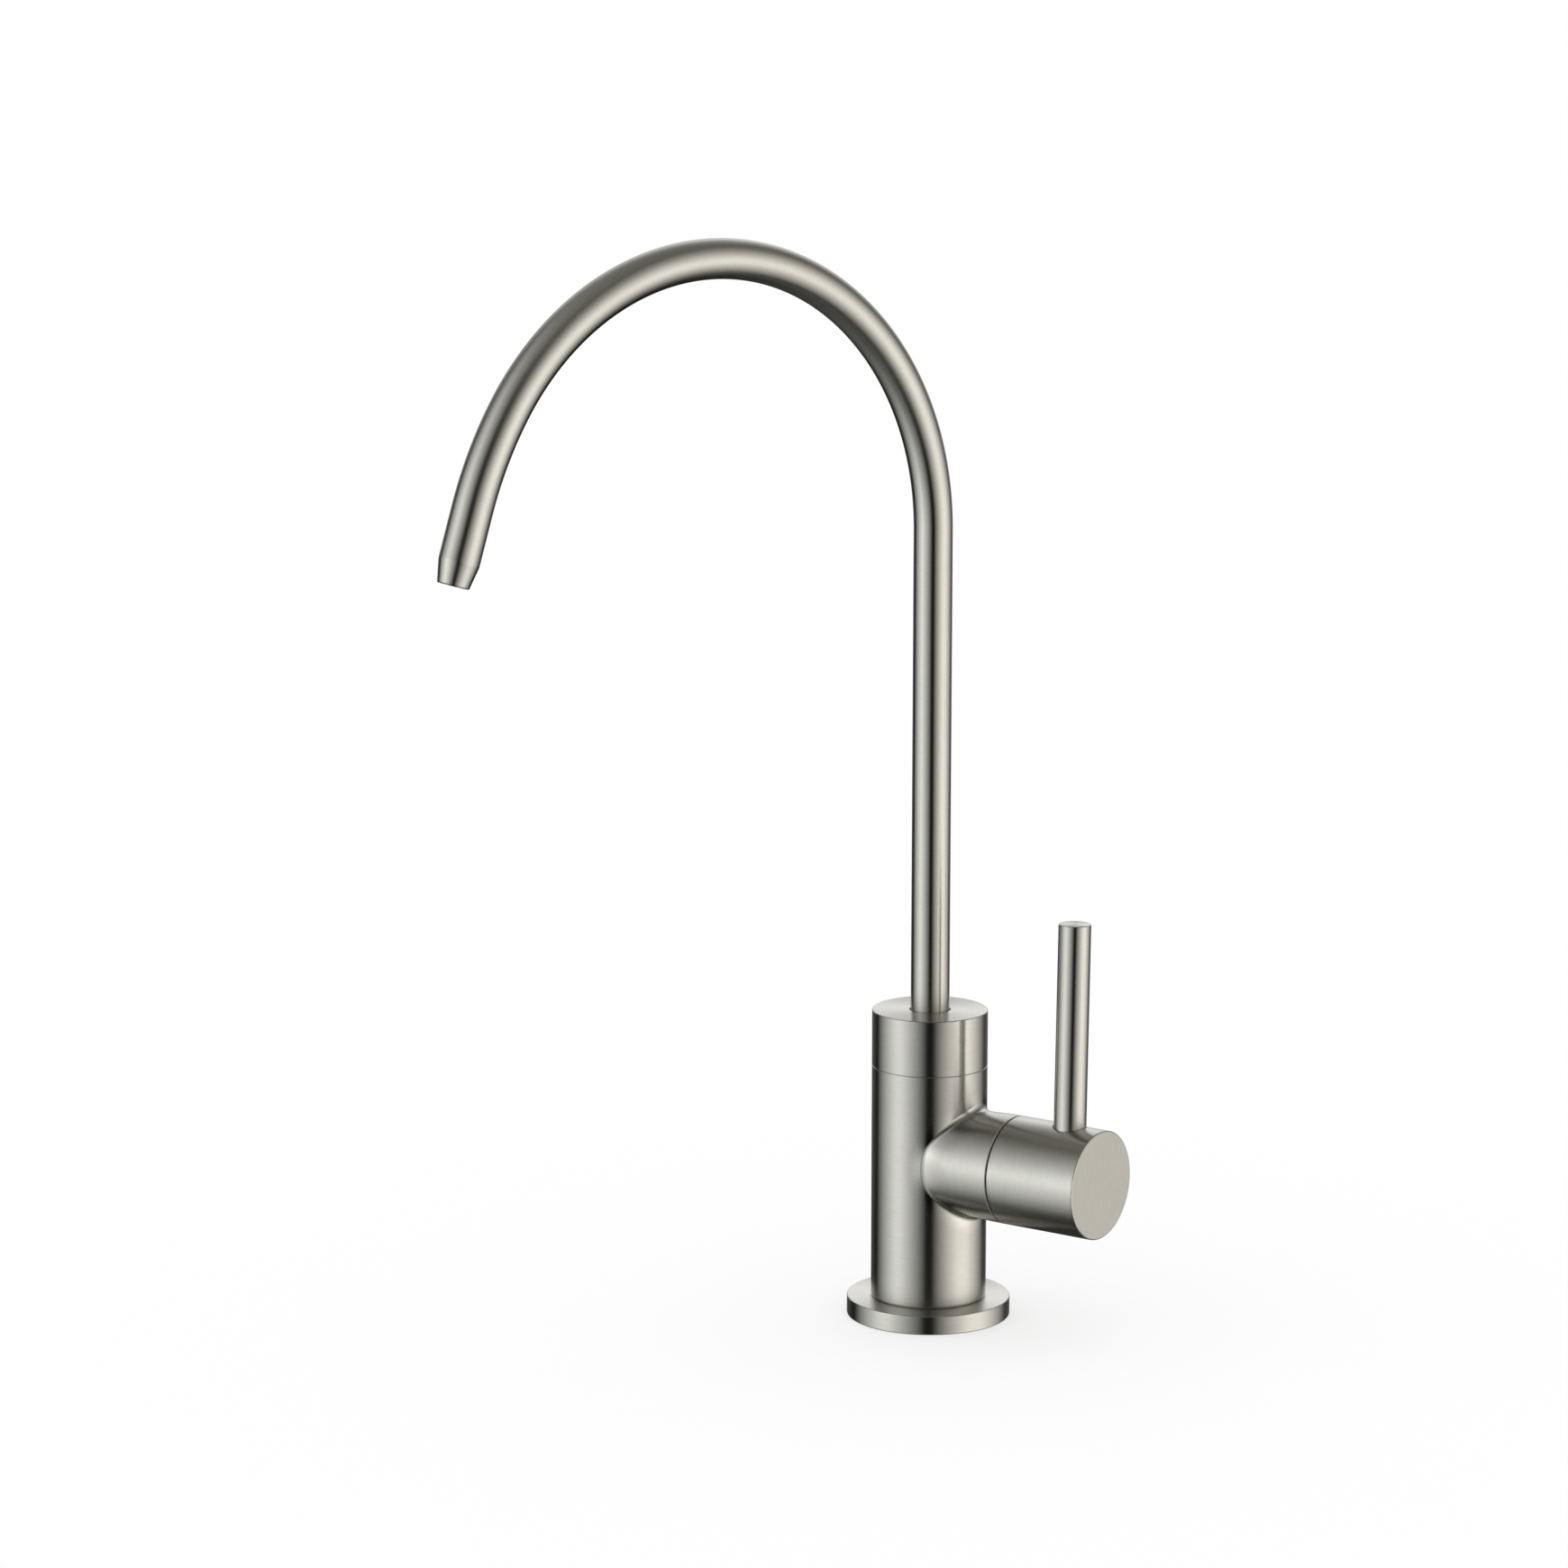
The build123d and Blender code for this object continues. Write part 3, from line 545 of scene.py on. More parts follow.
def around_hole(hole, shares, border, rows):
    """Flat grid between a hole's outline and the border of the sheet that it is cut in. Each
    outline point is joined by a straight line to the border point at the same share of the way
    round, where the border is given by its corners and their shares. Rows crowd to the hole."""
    share = np.linspace(0, 1, len(hole))
    rim = np.stack([np.interp(share, shares, line) for line in np.array(border, float).T], axis=-1)
    step = np.linspace(0, 1, rows + 1)[:, None, None] ** WALL_CROWDING
    return (1 - step) * hole + step * rim


# A ball rolled around the joint touches column and branch, and its track is the blend. It grows
# towards the nose, which is 1 at the valve's height and 0 past half the nose's height from there.
joint_angles = np.linspace(0, 2 * pi, BLEND_SIDES + 1)
nose = np.clip(1 - (BRANCH_RADIUS * np.cos(joint_angles) / NOSE_HALF) ** 2, 0, None) ** 2
blend_radius = BLEND_RADIUS + NOSE_EXTRA * nose
shine = 1 - NOSE_BRUSHED * nose
proud_column = COLUMN_RADIUS + NOSE_SWELL * nose
root = BRANCH_RADIUS - ROOT_HOLLOW - NOSE_HOLLOW * nose
ball_column = proud_column + blend_radius
ball_branch = root + blend_radius
ball_y = -ball_branch * np.sin(joint_angles)
ball_z = ball_branch * np.cos(joint_angles)
ball_x = np.sqrt(ball_column**2 - ball_y**2)
ball = np.stack([ball_x, ball_y, BRANCH_HEIGHT + ball_z], axis=-1)
shrink = proud_column / ball_column
on_column = np.stack([ball_x * shrink, ball_y * shrink, BRANCH_HEIGHT + ball_z], axis=-1)
shrink = root / ball_branch
on_branch = np.stack([ball_x, ball_y * shrink, BRANCH_HEIGHT + ball_z * shrink], axis=-1)

# The column's wall, unrolled, is a sheet with the blend's footprint cut out of it. It swells
# towards the nose with the square of the nearness.
wall_top = COLUMN_TOP - SEAM_EDGE
wall_bottom = FOOT_THICKNESS + FOOT_MARGIN
footprint = np.stack([np.arctan2(ball_y, ball_x), on_column[:, 2]], axis=-1)
sheet = around_hole(
    footprint,
    [0, 1 / 6, 1 / 3, 2 / 3, 5 / 6, 1],
    [(0, wall_top), (-pi, wall_top), (-pi, wall_bottom), (pi, wall_bottom), (pi, wall_top), (0, wall_top)],
    WALL_ROWS,
)
apart = np.linalg.norm((sheet - footprint) * [COLUMN_RADIUS, 1], axis=-1)
wall_radius = COLUMN_RADIUS + NOSE_SWELL * nose * np.clip(1 - apart / NOSE_REACH, 0, None) ** 2
wall = np.stack(
    [wall_radius * np.cos(sheet[..., 0]), wall_radius * np.sin(sheet[..., 0]), sheet[..., 1]], axis=-1
)
column_wall = (wall, sheet * [1 / (2 * pi), MM], shine * np.clip(1 - apart / POLISH_RUN, 0, 1))

# The blend turns from the point on the column to the point on the branch about the ball's centre
first = (on_column - ball) / blend_radius[:, None]
last = (on_branch - ball) / blend_radius[:, None]
turn = np.arccos(np.sum(first * last, axis=-1, keepdims=True))
step = np.linspace(0, 1, BLEND_ROWS + 1)[:, None, None]
arc = (np.sin((1 - step) * turn) * first + np.sin(step * turn) * last) / np.sin(turn)
blend = ball + blend_radius[:, None] * arc
turns = np.broadcast_to(joint_angles / (2 * pi), blend.shape[:2])
blend_wall = (blend, np.stack([turns, blend[..., 0] * MM], axis=-1), shine * np.ones_like(turns))

# The branch widens from its root to its full radius in a smooth step
step = np.linspace(0, 1, BRANCH_ROWS + 1)[:, None] ** BRANCH_CROWDING
branch_x = (1 - step) * ball_x + step * (BRANCH_REACH - SEAM_EDGE)
share = np.clip((branch_x - ball_x) / HOLLOW_RUN, 0, 1)
branch_radius = root + (BRANCH_RADIUS - root) * share**2 * (3 - 2 * share)
branch_y = -branch_radius * np.sin(joint_angles)
branch_z = branch_radius * np.cos(joint_angles)
branch = np.stack([branch_x, branch_y, BRANCH_HEIGHT + branch_z], axis=-1)
turns = np.broadcast_to(joint_angles / (2 * pi), branch_x.shape)
nearness = shine * np.clip(1 - (branch_x - ball_x) / POLISH_RUN, 0, 1)
branch_wall = (branch, np.stack([turns, branch_x * MM], axis=-1), nearness)

column_angles = np.linspace(-pi, pi, BLEND_SIDES // 3 + 1)
neck_outline = rounded(
    [
        (COLUMN_RADIUS, wall_top, 0),
        (COLUMN_RADIUS - SEAM_EDGE, COLUMN_TOP, 0),
        (NECK_RADIUS, COLUMN_TOP, 0),
        (NECK_RADIUS, NECK_TOP, LEAD_IN),
        (COLLAR_RECESS, NECK_TOP, EDGE_BREAK),
        (COLLAR_RECESS, COLLAR_FLOOR, 0),
        (SOCKET_RADIUS, COLLAR_FLOOR, EDGE_BREAK),
        (SOCKET_RADIUS, SOCKET_FLOOR, 0),
        (0, SOCKET_FLOOR, 0),
    ]
)
spigot_outline = rounded(
    [
        (COLUMN_RADIUS, wall_bottom, 0),
        (COLUMN_RADIUS, FOOT_THICKNESS, FOOT_ROUND),
        (SPIGOT_RADIUS, FOOT_THICKNESS, 0),
        (SPIGOT_RADIUS, FOOT_FLOOR, LEAD_IN),
        (SHANK_SOCKET, FOOT_FLOOR, LEAD_IN),
        (SHANK_SOCKET, SHANK_CEILING, 0),
        (INLET_RADIUS, SHANK_CEILING, 0),
        (INLET_RADIUS, INLET_TOP, 0),
        (0, INLET_TOP, 0),
    ]
)
chamber_outline = rounded(
    [
        (BRANCH_RADIUS, BRANCH_REACH - SEAM_EDGE, 0),
        (BRANCH_RADIUS - SEAM_EDGE, BRANCH_REACH, 0),
        (CHAMBER_RADIUS, BRANCH_REACH, EDGE_BREAK),
        (CHAMBER_RADIUS, CHAMBER_FLOOR, 0),
        (0, CHAMBER_FLOOR, 0),
    ]
)
valve_axis = dict(origin=(0, 0, BRANCH_HEIGHT), along=(1, 0, 0), side=(0, 0, 1))
body_grids = [
    column_wall,
    blend_wall,
    branch_wall,
    turned(neck_outline, angles=column_angles),
    turned(spigot_outline, angles=column_angles),
    turned(chamber_outline, angles=joint_angles, **valve_axis),
]
tee_body = skin("tee_body", body_grids, brushed_steel)
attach(tee_body, "body")
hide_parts("valve_body")

# Cap. A turned stainless cap of the column's width, screwed on the neck. It holds the spout's
# collar down, and the tube comes out through its hole.
CAP_TOP = 97.7
CAP_CEILING = 92.5
CAP_BORE = NECK_RADIUS + SCREW_PLAY
CAP_HOLE = 6.4
CAP_HOLE_EDGE = 0.15
CAP_MID_WALL = COLUMN_TOP + 2.0
RIM_EDGE = 0.4

cap_outline = rounded(
    [
        (COLUMN_RADIUS, CAP_MID_WALL, 0),
        (COLUMN_RADIUS, CAP_TOP, RIM_EDGE),
        (CAP_HOLE, CAP_TOP, CAP_HOLE_EDGE),
        (CAP_HOLE, CAP_CEILING, 0),
        (CAP_BORE, CAP_CEILING, 0),
        (CAP_BORE, COLUMN_TOP, 0),
        (COLUMN_RADIUS - SEAM_EDGE, COLUMN_TOP, 0),
        (COLUMN_RADIUS, COLUMN_TOP + SEAM_EDGE, 0),
        (COLUMN_RADIUS, CAP_MID_WALL, 0),
    ]
)
cap = skin("cap", [turned(cap_outline)], brushed_steel)
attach(cap, "body")
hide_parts("spout_cap")

# Spout. A 12 mm stainless tube with a 1 mm wall, drawn and bent over a former into a gooseneck,
# with its mouth swaged down to 9.4 mm. It is brushed around, like the column.
TUBE_RADIUS = 6.0
TUBE_WALL = 1.0
TUBE_BORE = TUBE_RADIUS - TUBE_WALL
RISER = 156.7
CROWN_RADIUS = 87.5
CROWN_SWEEP = radians(146.3)
FALL_RADIUS = 114.0
FALL_SWEEP = radians(15.4)
STRAIGHT_END = 15.3
MOUTH_LENGTH = 6.8
MOUTH_RADIUS = 4.7
MOUTH_WALL = 1.1
MOUTH_BLEND = 6.0
TUBE_EDGE = 0.1
SPOUT_HEADING = radians(-105.0)
TUBE_SIDES = 96
TUBE_STEP = 2.0


def finer(outline, longest):
    """The same outline with points added evenly wherever two lie further apart than this."""
    reach = np.hypot(*np.diff(outline, axis=0).T)
    cuts = np.maximum(np.ceil(reach / longest).astype(int), 1)
    ends = np.concatenate([[0], np.cumsum(cuts)])
    place = np.interp(np.arange(ends[-1] + 1), ends, np.arange(len(outline)))
    return np.stack([np.interp(place, np.arange(len(outline)), line) for line in outline.T], axis=-1)


def gooseneck(distance):
    """Centre and outward direction of the bent tube at each distance along it. It rises, turns
    through the crown arc, then through the wider arc of the fall, and ends straight. An arc
    moves by its radius times the change of the heading's cosine and sine."""
    crown_start = RISER
    fall_start = crown_start + CROWN_RADIUS * CROWN_SWEEP
    end_start = fall_start + FALL_RADIUS * FALL_SWEEP
    crown = np.clip((distance - crown_start) / CROWN_RADIUS, 0, CROWN_SWEEP)
    fall = np.clip((distance - fall_start) / FALL_RADIUS, 0, FALL_SWEEP)
    straight = np.maximum(distance - end_start, 0)
    heading = crown + fall
    out = CROWN_RADIUS * (1 - np.cos(crown))
    out += FALL_RADIUS * (np.cos(crown) - np.cos(heading))
    out += straight * np.sin(heading)
    up = np.minimum(distance, crown_start) + CROWN_RADIUS * np.sin(crown)
    up += FALL_RADIUS * (np.sin(heading) - np.sin(crown))
    up += straight * np.cos(heading)
    forward = np.array([np.cos(SPOUT_HEADING), np.sin(SPOUT_HEADING), 0])
    upward = np.array([0, 0, 1])
    centre = out[:, None] * forward + (NECK_TOP + up)[:, None] * upward
    outward = np.cos(heading)[:, None] * forward - np.sin(heading)[:, None] * upward
    return centre, outward, np.cross(upward, forward)


tube_end = RISER + CROWN_RADIUS * CROWN_SWEEP + FALL_RADIUS * FALL_SWEEP + STRAIGHT_END
mouth_end = tube_end + MOUTH_LENGTH
tube_outline = rounded(
    [
        (TUBE_BORE, 0, 0),
        (TUBE_RADIUS, 0, TUBE_EDGE),
        (TUBE_RADIUS, tube_end, MOUTH_BLEND),
        (MOUTH_RADIUS, mouth_end, EDGE_BREAK),
        (MOUTH_RADIUS - MOUTH_WALL, mouth_end, EDGE_BREAK),
        (TUBE_BORE, tube_end, MOUTH_BLEND),
        (TUBE_BORE, 0, 0),
    ],
    steps=6,
)
tube_outline = finer(tube_outline, TUBE_STEP)
tube_angles = np.linspace(0, 2 * pi, TUBE_SIDES + 1)
centre, outward, sideways = gooseneck(tube_outline[:, 1])
spokes = np.cos(tube_angles)[:, None] * outward[:, None] + np.sin(tube_angles)[:, None] * sideways
tube_points = centre[:, None] + tube_outline[:, 0, None, None] * spokes
tube_chart = np.stack(np.broadcast_arrays(tube_angles / (2 * pi), tube_outline[:, 1, None] * MM), axis=-1)
spout = skin("gooseneck_tube", [(tube_points, tube_chart)], brushed_steel)
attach(spout, "spout")
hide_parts("spout_tube")

# Handle. A stainless hub on the valve's splined spindle, with its end face brushed straight. A
# hole on top seats the lever, and the grub screw comes in from below.
HUB_GAP = 0.5
HUB_LENGTH = 31.0
HUB_START = BRANCH_REACH + HUB_GAP
HUB_END = HUB_START + HUB_LENGTH
HUB_CAVITY = 13.325
HUB_BOSS = 46.0
SPLINE_END = 56.9
SPLINE_ROOT = 3.49
SPLINE_TIP = 3.94
SPLINE_TEETH = 16
LEVER_PLACE = 51.6
LEVER_LEAN = radians(1.3)
LEVER_SEAT = 15.0
LEVER_RADIUS = 5.0
LEVER_PLAY = 0.3
LEVER_HOLE = LEVER_RADIUS + LEVER_PLAY
HOLE_EDGE = 0.1
STUD_RADIUS = 3.0
STUD_HOLE = STUD_RADIUS + SCREW_PLAY
STUD_FLOOR = 8.5
GRUB_RADIUS = 2.0
GRUB_HOLE = GRUB_RADIUS + SCREW_PLAY
SPINDLE_PLAY = 0.02
GRUB_FLOOR = SPLINE_TIP + SPINDLE_PLAY
HUB_ROWS = 20

lever_up = np.array([0, np.sin(LEVER_LEAN), np.cos(LEVER_LEAN)])
lever_side = np.array([0, -np.cos(LEVER_LEAN), np.sin(LEVER_LEAN)])
hub_axis = dict(origin=(0, 0, BRANCH_HEIGHT), along=(1, 0, 0), side=lever_up)
hub_start = HUB_START + SEAM_EDGE
hub_end = HUB_END - RIM_EDGE
hole_turn = np.linspace(0, 2 * pi, ROUND_SIDES * 2 + 1)


def hub_half(hole_radius, middle):
    """Half of the hub's outer wall with one round hole. Unrolled, the hole's points lie at its
    radius times cosine along the axis, and at the angle whose sine is its radius times sine
    over the hub's radius."""
    place = LEVER_PLACE + hole_radius * np.cos(hole_turn)
    angle = np.arcsin(hole_radius * np.sin(hole_turn) / BRANCH_RADIUS)
    quarter = pi / 2
    corners = [
        (hub_end, 0),
        (hub_end, quarter),
        (hub_start, quarter),
        (hub_start, -quarter),
        (hub_end, -quarter),
        (hub_end, 0),
    ]
    shares = [0, 1 / 8, 3 / 8, 5 / 8, 7 / 8, 1]
    sheet = around_hole(np.stack([place, angle], axis=-1), shares, corners, HUB_ROWS)
    angle = sheet[..., 1] + middle
    across = np.sin(angle)[..., None] * lever_side + np.cos(angle)[..., None] * lever_up
    points = sheet[..., :1] * np.array([1, 0, 0]) + BRANCH_RADIUS * across
    return points + [0, 0, BRANCH_HEIGHT], np.stack([angle / (2 * pi), sheet[..., 0] * MM], axis=-1)


def hub_hole(levels, upward):
    """Wall of a hole into the hub. Each level is a radius and a height above the valve's axis, or
    a depth below the hub's outer surface where it is negative or nothing."""
    rows = []
    for radius, height in levels:
        across = radius * np.sin(hole_turn)
        surface = np.sqrt(BRANCH_RADIUS**2 - across**2)
        level = surface + height if height <= 0 else np.full_like(surface, height)
        place = (LEVER_PLACE + radius * np.cos(hole_turn))[:, None] * np.array([1, 0, 0])
        rows.append(place + upward * (level[:, None] * lever_up + across[:, None] * lever_side))
    points = np.stack(rows) + [0, 0, BRANCH_HEIGHT]
    depth = np.arange(len(levels))[:, None] * MM
    return points, np.stack(np.broadcast_arrays(hole_turn / (2 * pi), depth), axis=-1)


end_outline = rounded([(BRANCH_RADIUS, hub_end, 0), (BRANCH_RADIUS, HUB_END, RIM_EDGE), (0, HUB_END, 0)])
end_rim, end_chart = turned(end_outline[:-1], **hub_axis)
face_points, face_chart = turned(end_outline[-2:], **hub_axis)
face_chart = np.stack([face_points[..., 2], face_points[..., 1]], axis=-1) * MM
face_chart[..., 0] /= 2 * pi * GROOVE_WRAP

inner_angles = np.linspace(0, 2 * pi, ROUND_SIDES + 1)
teeth = np.where(np.cos(inner_angles * SPLINE_TEETH) > 0, SPLINE_TIP, SPLINE_ROOT)
inner = rounded(
    [
        (BRANCH_RADIUS, hub_start, 0),
        (BRANCH_RADIUS - SEAM_EDGE, HUB_START, 0),
        (HUB_CAVITY, HUB_START, EDGE_BREAK),
        (HUB_CAVITY, HUB_BOSS, 0),
        (SPLINE_TIP, HUB_BOSS, 0),
        (SPLINE_TIP, SPLINE_END, 0),
        (0, SPLINE_END, 0),
    ]
)
inner = np.repeat(inner[:, None], ROUND_SIDES + 1, axis=1)
inner[-3:-1, :, 0] = teeth
hub_grids = [
    hub_half(LEVER_HOLE + HOLE_EDGE, 0.0),
    hub_half(GRUB_HOLE + HOLE_EDGE, pi),
    (end_rim, end_chart),
    (face_points, face_chart),
    turned(inner, **hub_axis),
    hub_hole(
        [
            (LEVER_HOLE + HOLE_EDGE, 0),
            (LEVER_HOLE, -HOLE_EDGE),
            (LEVER_HOLE, LEVER_SEAT),
            (STUD_HOLE, LEVER_SEAT),
            (STUD_HOLE, STUD_FLOOR),
            (0, STUD_FLOOR),
        ],
        1,
    ),
    hub_hole(
        [(GRUB_HOLE + HOLE_EDGE, 0), (GRUB_HOLE, -HOLE_EDGE), (GRUB_HOLE, GRUB_FLOOR), (0, GRUB_FLOOR)],
        -1,
    ),
]
hub = skin("handle_hub_shell", hub_grids, brushed_steel)
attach(hub, "handle")
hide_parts("handle_hub")

# Lever. A 10 mm stainless rod with a flat top, screwed into the hub by the stud turned on its
# foot.
LEVER_TOP = 80.0
STUD_GAP = 0.4
STUD_END = STUD_FLOOR + STUD_GAP
STUD_EDGE = 0.4

lever_outline = rounded(
    [
        (0, STUD_END, 0),
        (STUD_RADIUS, STUD_END, STUD_EDGE),
        (STUD_RADIUS, LEVER_SEAT, 0),
        (LEVER_RADIUS, LEVER_SEAT, EDGE_BREAK),
        (LEVER_RADIUS, LEVER_TOP, RIM_EDGE),
        (0, LEVER_TOP, 0),
    ]
)
lever_axis = dict(origin=(LEVER_PLACE, 0, BRANCH_HEIGHT), along=lever_up, side=(1, 0, 0))
lever = skin("lever", [turned(lever_outline, **lever_axis)], brushed_steel)
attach(lever, "handle")
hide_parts("lever_rod")

# Shank. A hollow 7/16 inch stainless tube, threaded 24 to the inch from the body down to the
# supply fitting. A narrow relief ends the nut's travel, and a rubber ring seals the upper end.
SHANK_TOP = 16.0
SHANK_END = -62.0
SHANK_EDGE = 0.8
SHANK_PITCH = 25.4 / 24
THREAD_TOP = 12.8
THREAD_SIDES = 96
THREAD_RUNOUT = 0.6
RELIEF_TOP = -46.0
RELIEF_LENGTH = 1.2
RELIEF_BOTTOM = RELIEF_TOP - RELIEF_LENGTH
SHANK_RING_HEIGHT = 14.5
SHANK_RING_WIRE = 0.475
SHANK_RING_RADIUS = 5.06
SHANK_GROOVE = 4.525
SHANK_GROOVE_HALF = 0.825
SHANK_GROOVE_EDGE = 0.1
WIRE_SIDES = 16

# Turned 304 stainless: a plain bright grey, with feed marks of the lathe around each piece's axis
TURNED_STEEL = dict(
    colour="#C3C3BF", shade="#AEAEAA", patches_per_metre=120.0, detail=3.0, smooth=0.22, rough=0.34
)
FEED_MARKS = 0.12 * MM
FEED_DEPTH = 0.003 * MM


def turned_metal(name, colour, shade, patches_per_metre, detail, smooth, rough, level=False):
    """Metal turned about the column's axis, or about the valve's where it is level. Feed marks run
    around that axis and set gloss and relief. Patches, this many to the metre, set its colour."""
    material, nodes = bare_material(name)
    place = add_node(nodes, "ShaderNodeTexCoord", {}, {})
    middle = (0, 0, BRANCH_HEIGHT * MM if level else 0)
    centred = add_node(
        nodes, "ShaderNodeVectorMath", dict(operation="SUBTRACT"), {0: place.outputs["Object"], 1: middle}
    )
    across = (0, 1, 1) if level else (1, 1, 0)
    flat = add_node(
        nodes, "ShaderNodeVectorMath", dict(operation="MULTIPLY"), {0: centred.outputs[0], 1: across}
    )
    reach = add_node(nodes, "ShaderNodeVectorMath", dict(operation="LENGTH"), {0: flat.outputs[0]})
    height = add_node(nodes, "ShaderNodeSeparateXYZ", {}, {0: centred.outputs[0]})
    along = height.outputs["X" if level else "Z"]
    lathe = add_node(nodes, "ShaderNodeCombineXYZ", {}, {0: reach.outputs["Value"], 1: along})
    marks = add_node(
        nodes, "ShaderNodeTexNoise", {}, {"Vector": lathe.outputs[0], "Scale": 1 / FEED_MARKS, "Detail": 2.0}
    )
    patch = add_node(
        nodes,
        "ShaderNodeTexNoise",
        {},
        {"Vector": place.outputs["Object"], "Scale": patches_per_metre, "Detail": detail},
    )
    tone = add_node(
        nodes,
        "ShaderNodeMix",
        dict(data_type="RGBA"),
        {"Factor": patch.outputs["Fac"], 6: linear(colour), 7: linear(shade)},
    )
    gloss = add_node(
        nodes,
        "ShaderNodeMapRange",
        {},
        {"Value": marks.outputs["Fac"], **NOISE_RANGE, "To Min": smooth, "To Max": rough},
    )
    relief = add_node(nodes, "ShaderNodeBump", {}, {"Distance": FEED_DEPTH, "Height": marks.outputs["Fac"]})
    metal = add_node(
        nodes,
        "ShaderNodeBsdfPrincipled",
        {},
        {
            "Base Color": tone.outputs[2],
            "Metallic": 1.0,
            "Roughness": gloss.outputs[0],
            "Normal": relief.outputs[0],
        },
    )
    add_node(nodes, "ShaderNodeOutputMaterial", {}, {"Surface": metal.outputs[0]})
    return material


def helix(radius, pitch, bottom, top, ends, angles):
    """Screw thread between two heights. Its rows climb by one pitch in each turn, with four rows to
    a turn: the crest takes an eighth of the pitch, the root a quarter, and the sides slope at 60
    degrees. Each end is turned down by its own depth, at 45 degrees."""
    depth = pitch * 5 / 16 * np.tan(pi / 3)
    turns = int(np.ceil((top - bottom) / pitch)) + 2
    phases = (np.arange(turns)[:, None] + [0, 1 / 8, 7 / 16, 11 / 16]).ravel()
    level = np.tile([radius, radius, radius - depth, radius - depth], turns)[:, None]
    climb = bottom + pitch * (phases[:, None] - 1 + angles / (2 * pi))
    climb = np.clip(climb, bottom, top)
    level = np.minimum(level, radius - ends[0] + climb - bottom)
    level = np.minimum(level, radius - ends[1] + top - climb)
    return np.stack([level, climb], axis=-1)


def wire_ring(radius, wire):
    """Outline of a rubber ring's round section, at this radius from its axis."""
    around = np.linspace(0, 2 * pi, WIRE_SIDES + 1)
    return np.stack([radius + wire * np.cos(around), wire * np.sin(around)], axis=-1)


turned_steel = turned_metal("turned_304_stainless", **TURNED_STEEL)
thread_angles = np.linspace(0, 2 * pi, THREAD_SIDES + 1)
supply_thread = helix(
    SHANK_RADIUS, SHANK_PITCH, SHANK_END, RELIEF_BOTTOM, (SHANK_EDGE, THREAD_RUNOUT), thread_angles
)
long_thread = helix(
    SHANK_RADIUS, SHANK_PITCH, RELIEF_TOP, THREAD_TOP, (THREAD_RUNOUT, THREAD_RUNOUT), thread_angles
)
shank_relief = np.array(
    [(SHANK_RADIUS - THREAD_RUNOUT, RELIEF_BOTTOM), (SHANK_RADIUS - THREAD_RUNOUT, RELIEF_TOP)]
)
shank_outline = rounded(
    [
        (SHANK_RADIUS - THREAD_RUNOUT, THREAD_TOP, 0),
        (SHANK_GROOVE, SHANK_RING_HEIGHT - SHANK_GROOVE_HALF, SHANK_GROOVE_EDGE),
        (SHANK_GROOVE, SHANK_RING_HEIGHT + SHANK_GROOVE_HALF, SHANK_GROOVE_EDGE),
        (SHANK_RADIUS, SHANK_RING_HEIGHT + SHANK_GROOVE_HALF, SHANK_GROOVE_EDGE),
        (SHANK_RADIUS, SHANK_TOP, EDGE_BREAK),
        (INLET_RADIUS, SHANK_TOP, EDGE_BREAK),
        (INLET_RADIUS, SHANK_END, EDGE_BREAK),
        (SHANK_RADIUS - SHANK_EDGE, SHANK_END, 0),
    ]
)
shank_grids = [
    turned(supply_thread, angles=thread_angles),
    turned(shank_relief, angles=thread_angles),
    turned(long_thread, angles=thread_angles),
    turned(shank_outline, angles=thread_angles),
]
shank = skin("shank", shank_grids, turned_steel)
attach(shank, "body")
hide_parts("threaded_shank")

shank_ring = skin(
    "shank_ring",
    [turned(wire_ring(SHANK_RING_RADIUS, SHANK_RING_WIRE), origin=(0, 0, SHANK_RING_HEIGHT))],
    rubber,
)
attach(shank_ring, "body")
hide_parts("shank_o_ring")

# Washers. A soft rubber one, 32 mm across, bears on the worktop from below, and a stamped
# stainless one, 30 mm across, lets the nut turn on it. Their holes are as wide as the foot's.
WORKTOP_UNDERSIDE = -20.0
SOFT_WASHER = dict(name="soft_washer", radius=16.0, thickness=3.0, edge=0.3)
HARD_WASHER = dict(name="hard_washer", radius=15.0, thickness=1.5, edge=0.25)

stack_top = WORKTOP_UNDERSIDE
for washer, material, node, finish in [
    (SOFT_WASHER, rubber, "deck_rubber_washer", "black_rubber"),
    (HARD_WASHER, turned_steel, "deck_steel_washer", "threaded_steel"),
]:
    stack_bottom = stack_top - washer["thickness"]
    middle = (stack_top + stack_bottom) / 2
    washer_outline = rounded(
        [
            (SHANK_HOLE, middle, 0),
            (SHANK_HOLE, stack_bottom, washer["edge"]),
            (washer["radius"], stack_bottom, washer["edge"]),
            (washer["radius"], stack_top, washer["edge"]),
            (SHANK_HOLE, stack_top, washer["edge"]),
            (SHANK_HOLE, middle, 0),
        ]
    )
    piece = skin(washer["name"], [turned(washer_outline)], material)
    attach(piece, "deck_clamp")
    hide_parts(node)
    stack_top = stack_bottom

# Nut. Sawn from 22 mm hexagon brass bar, 8 mm thick, its corners turned off at both faces.
NUT_HALF = 11.0
NUT_THICKNESS = 8.0
NUT_TOP = stack_top
NUT_BOTTOM = NUT_TOP - NUT_THICKNESS
NUT_MOUTH = 0.6
NUT_SIDES = 240

# Brass: warm yellow, a little browned by handling, with the lathe's feed marks. One make has the
# marks around the column's axis, and the other around the valve's.
TURNED_BRASS = dict(
    colour="#D9B45C", shade="#B98F45", patches_per_metre=90.0, detail=4.0, smooth=0.2, rough=0.32
)
brasses = {
    "upright": turned_metal("turned_brass_upright", **TURNED_BRASS),
    "level": turned_metal("turned_brass_level", **TURNED_BRASS, level=True),
}


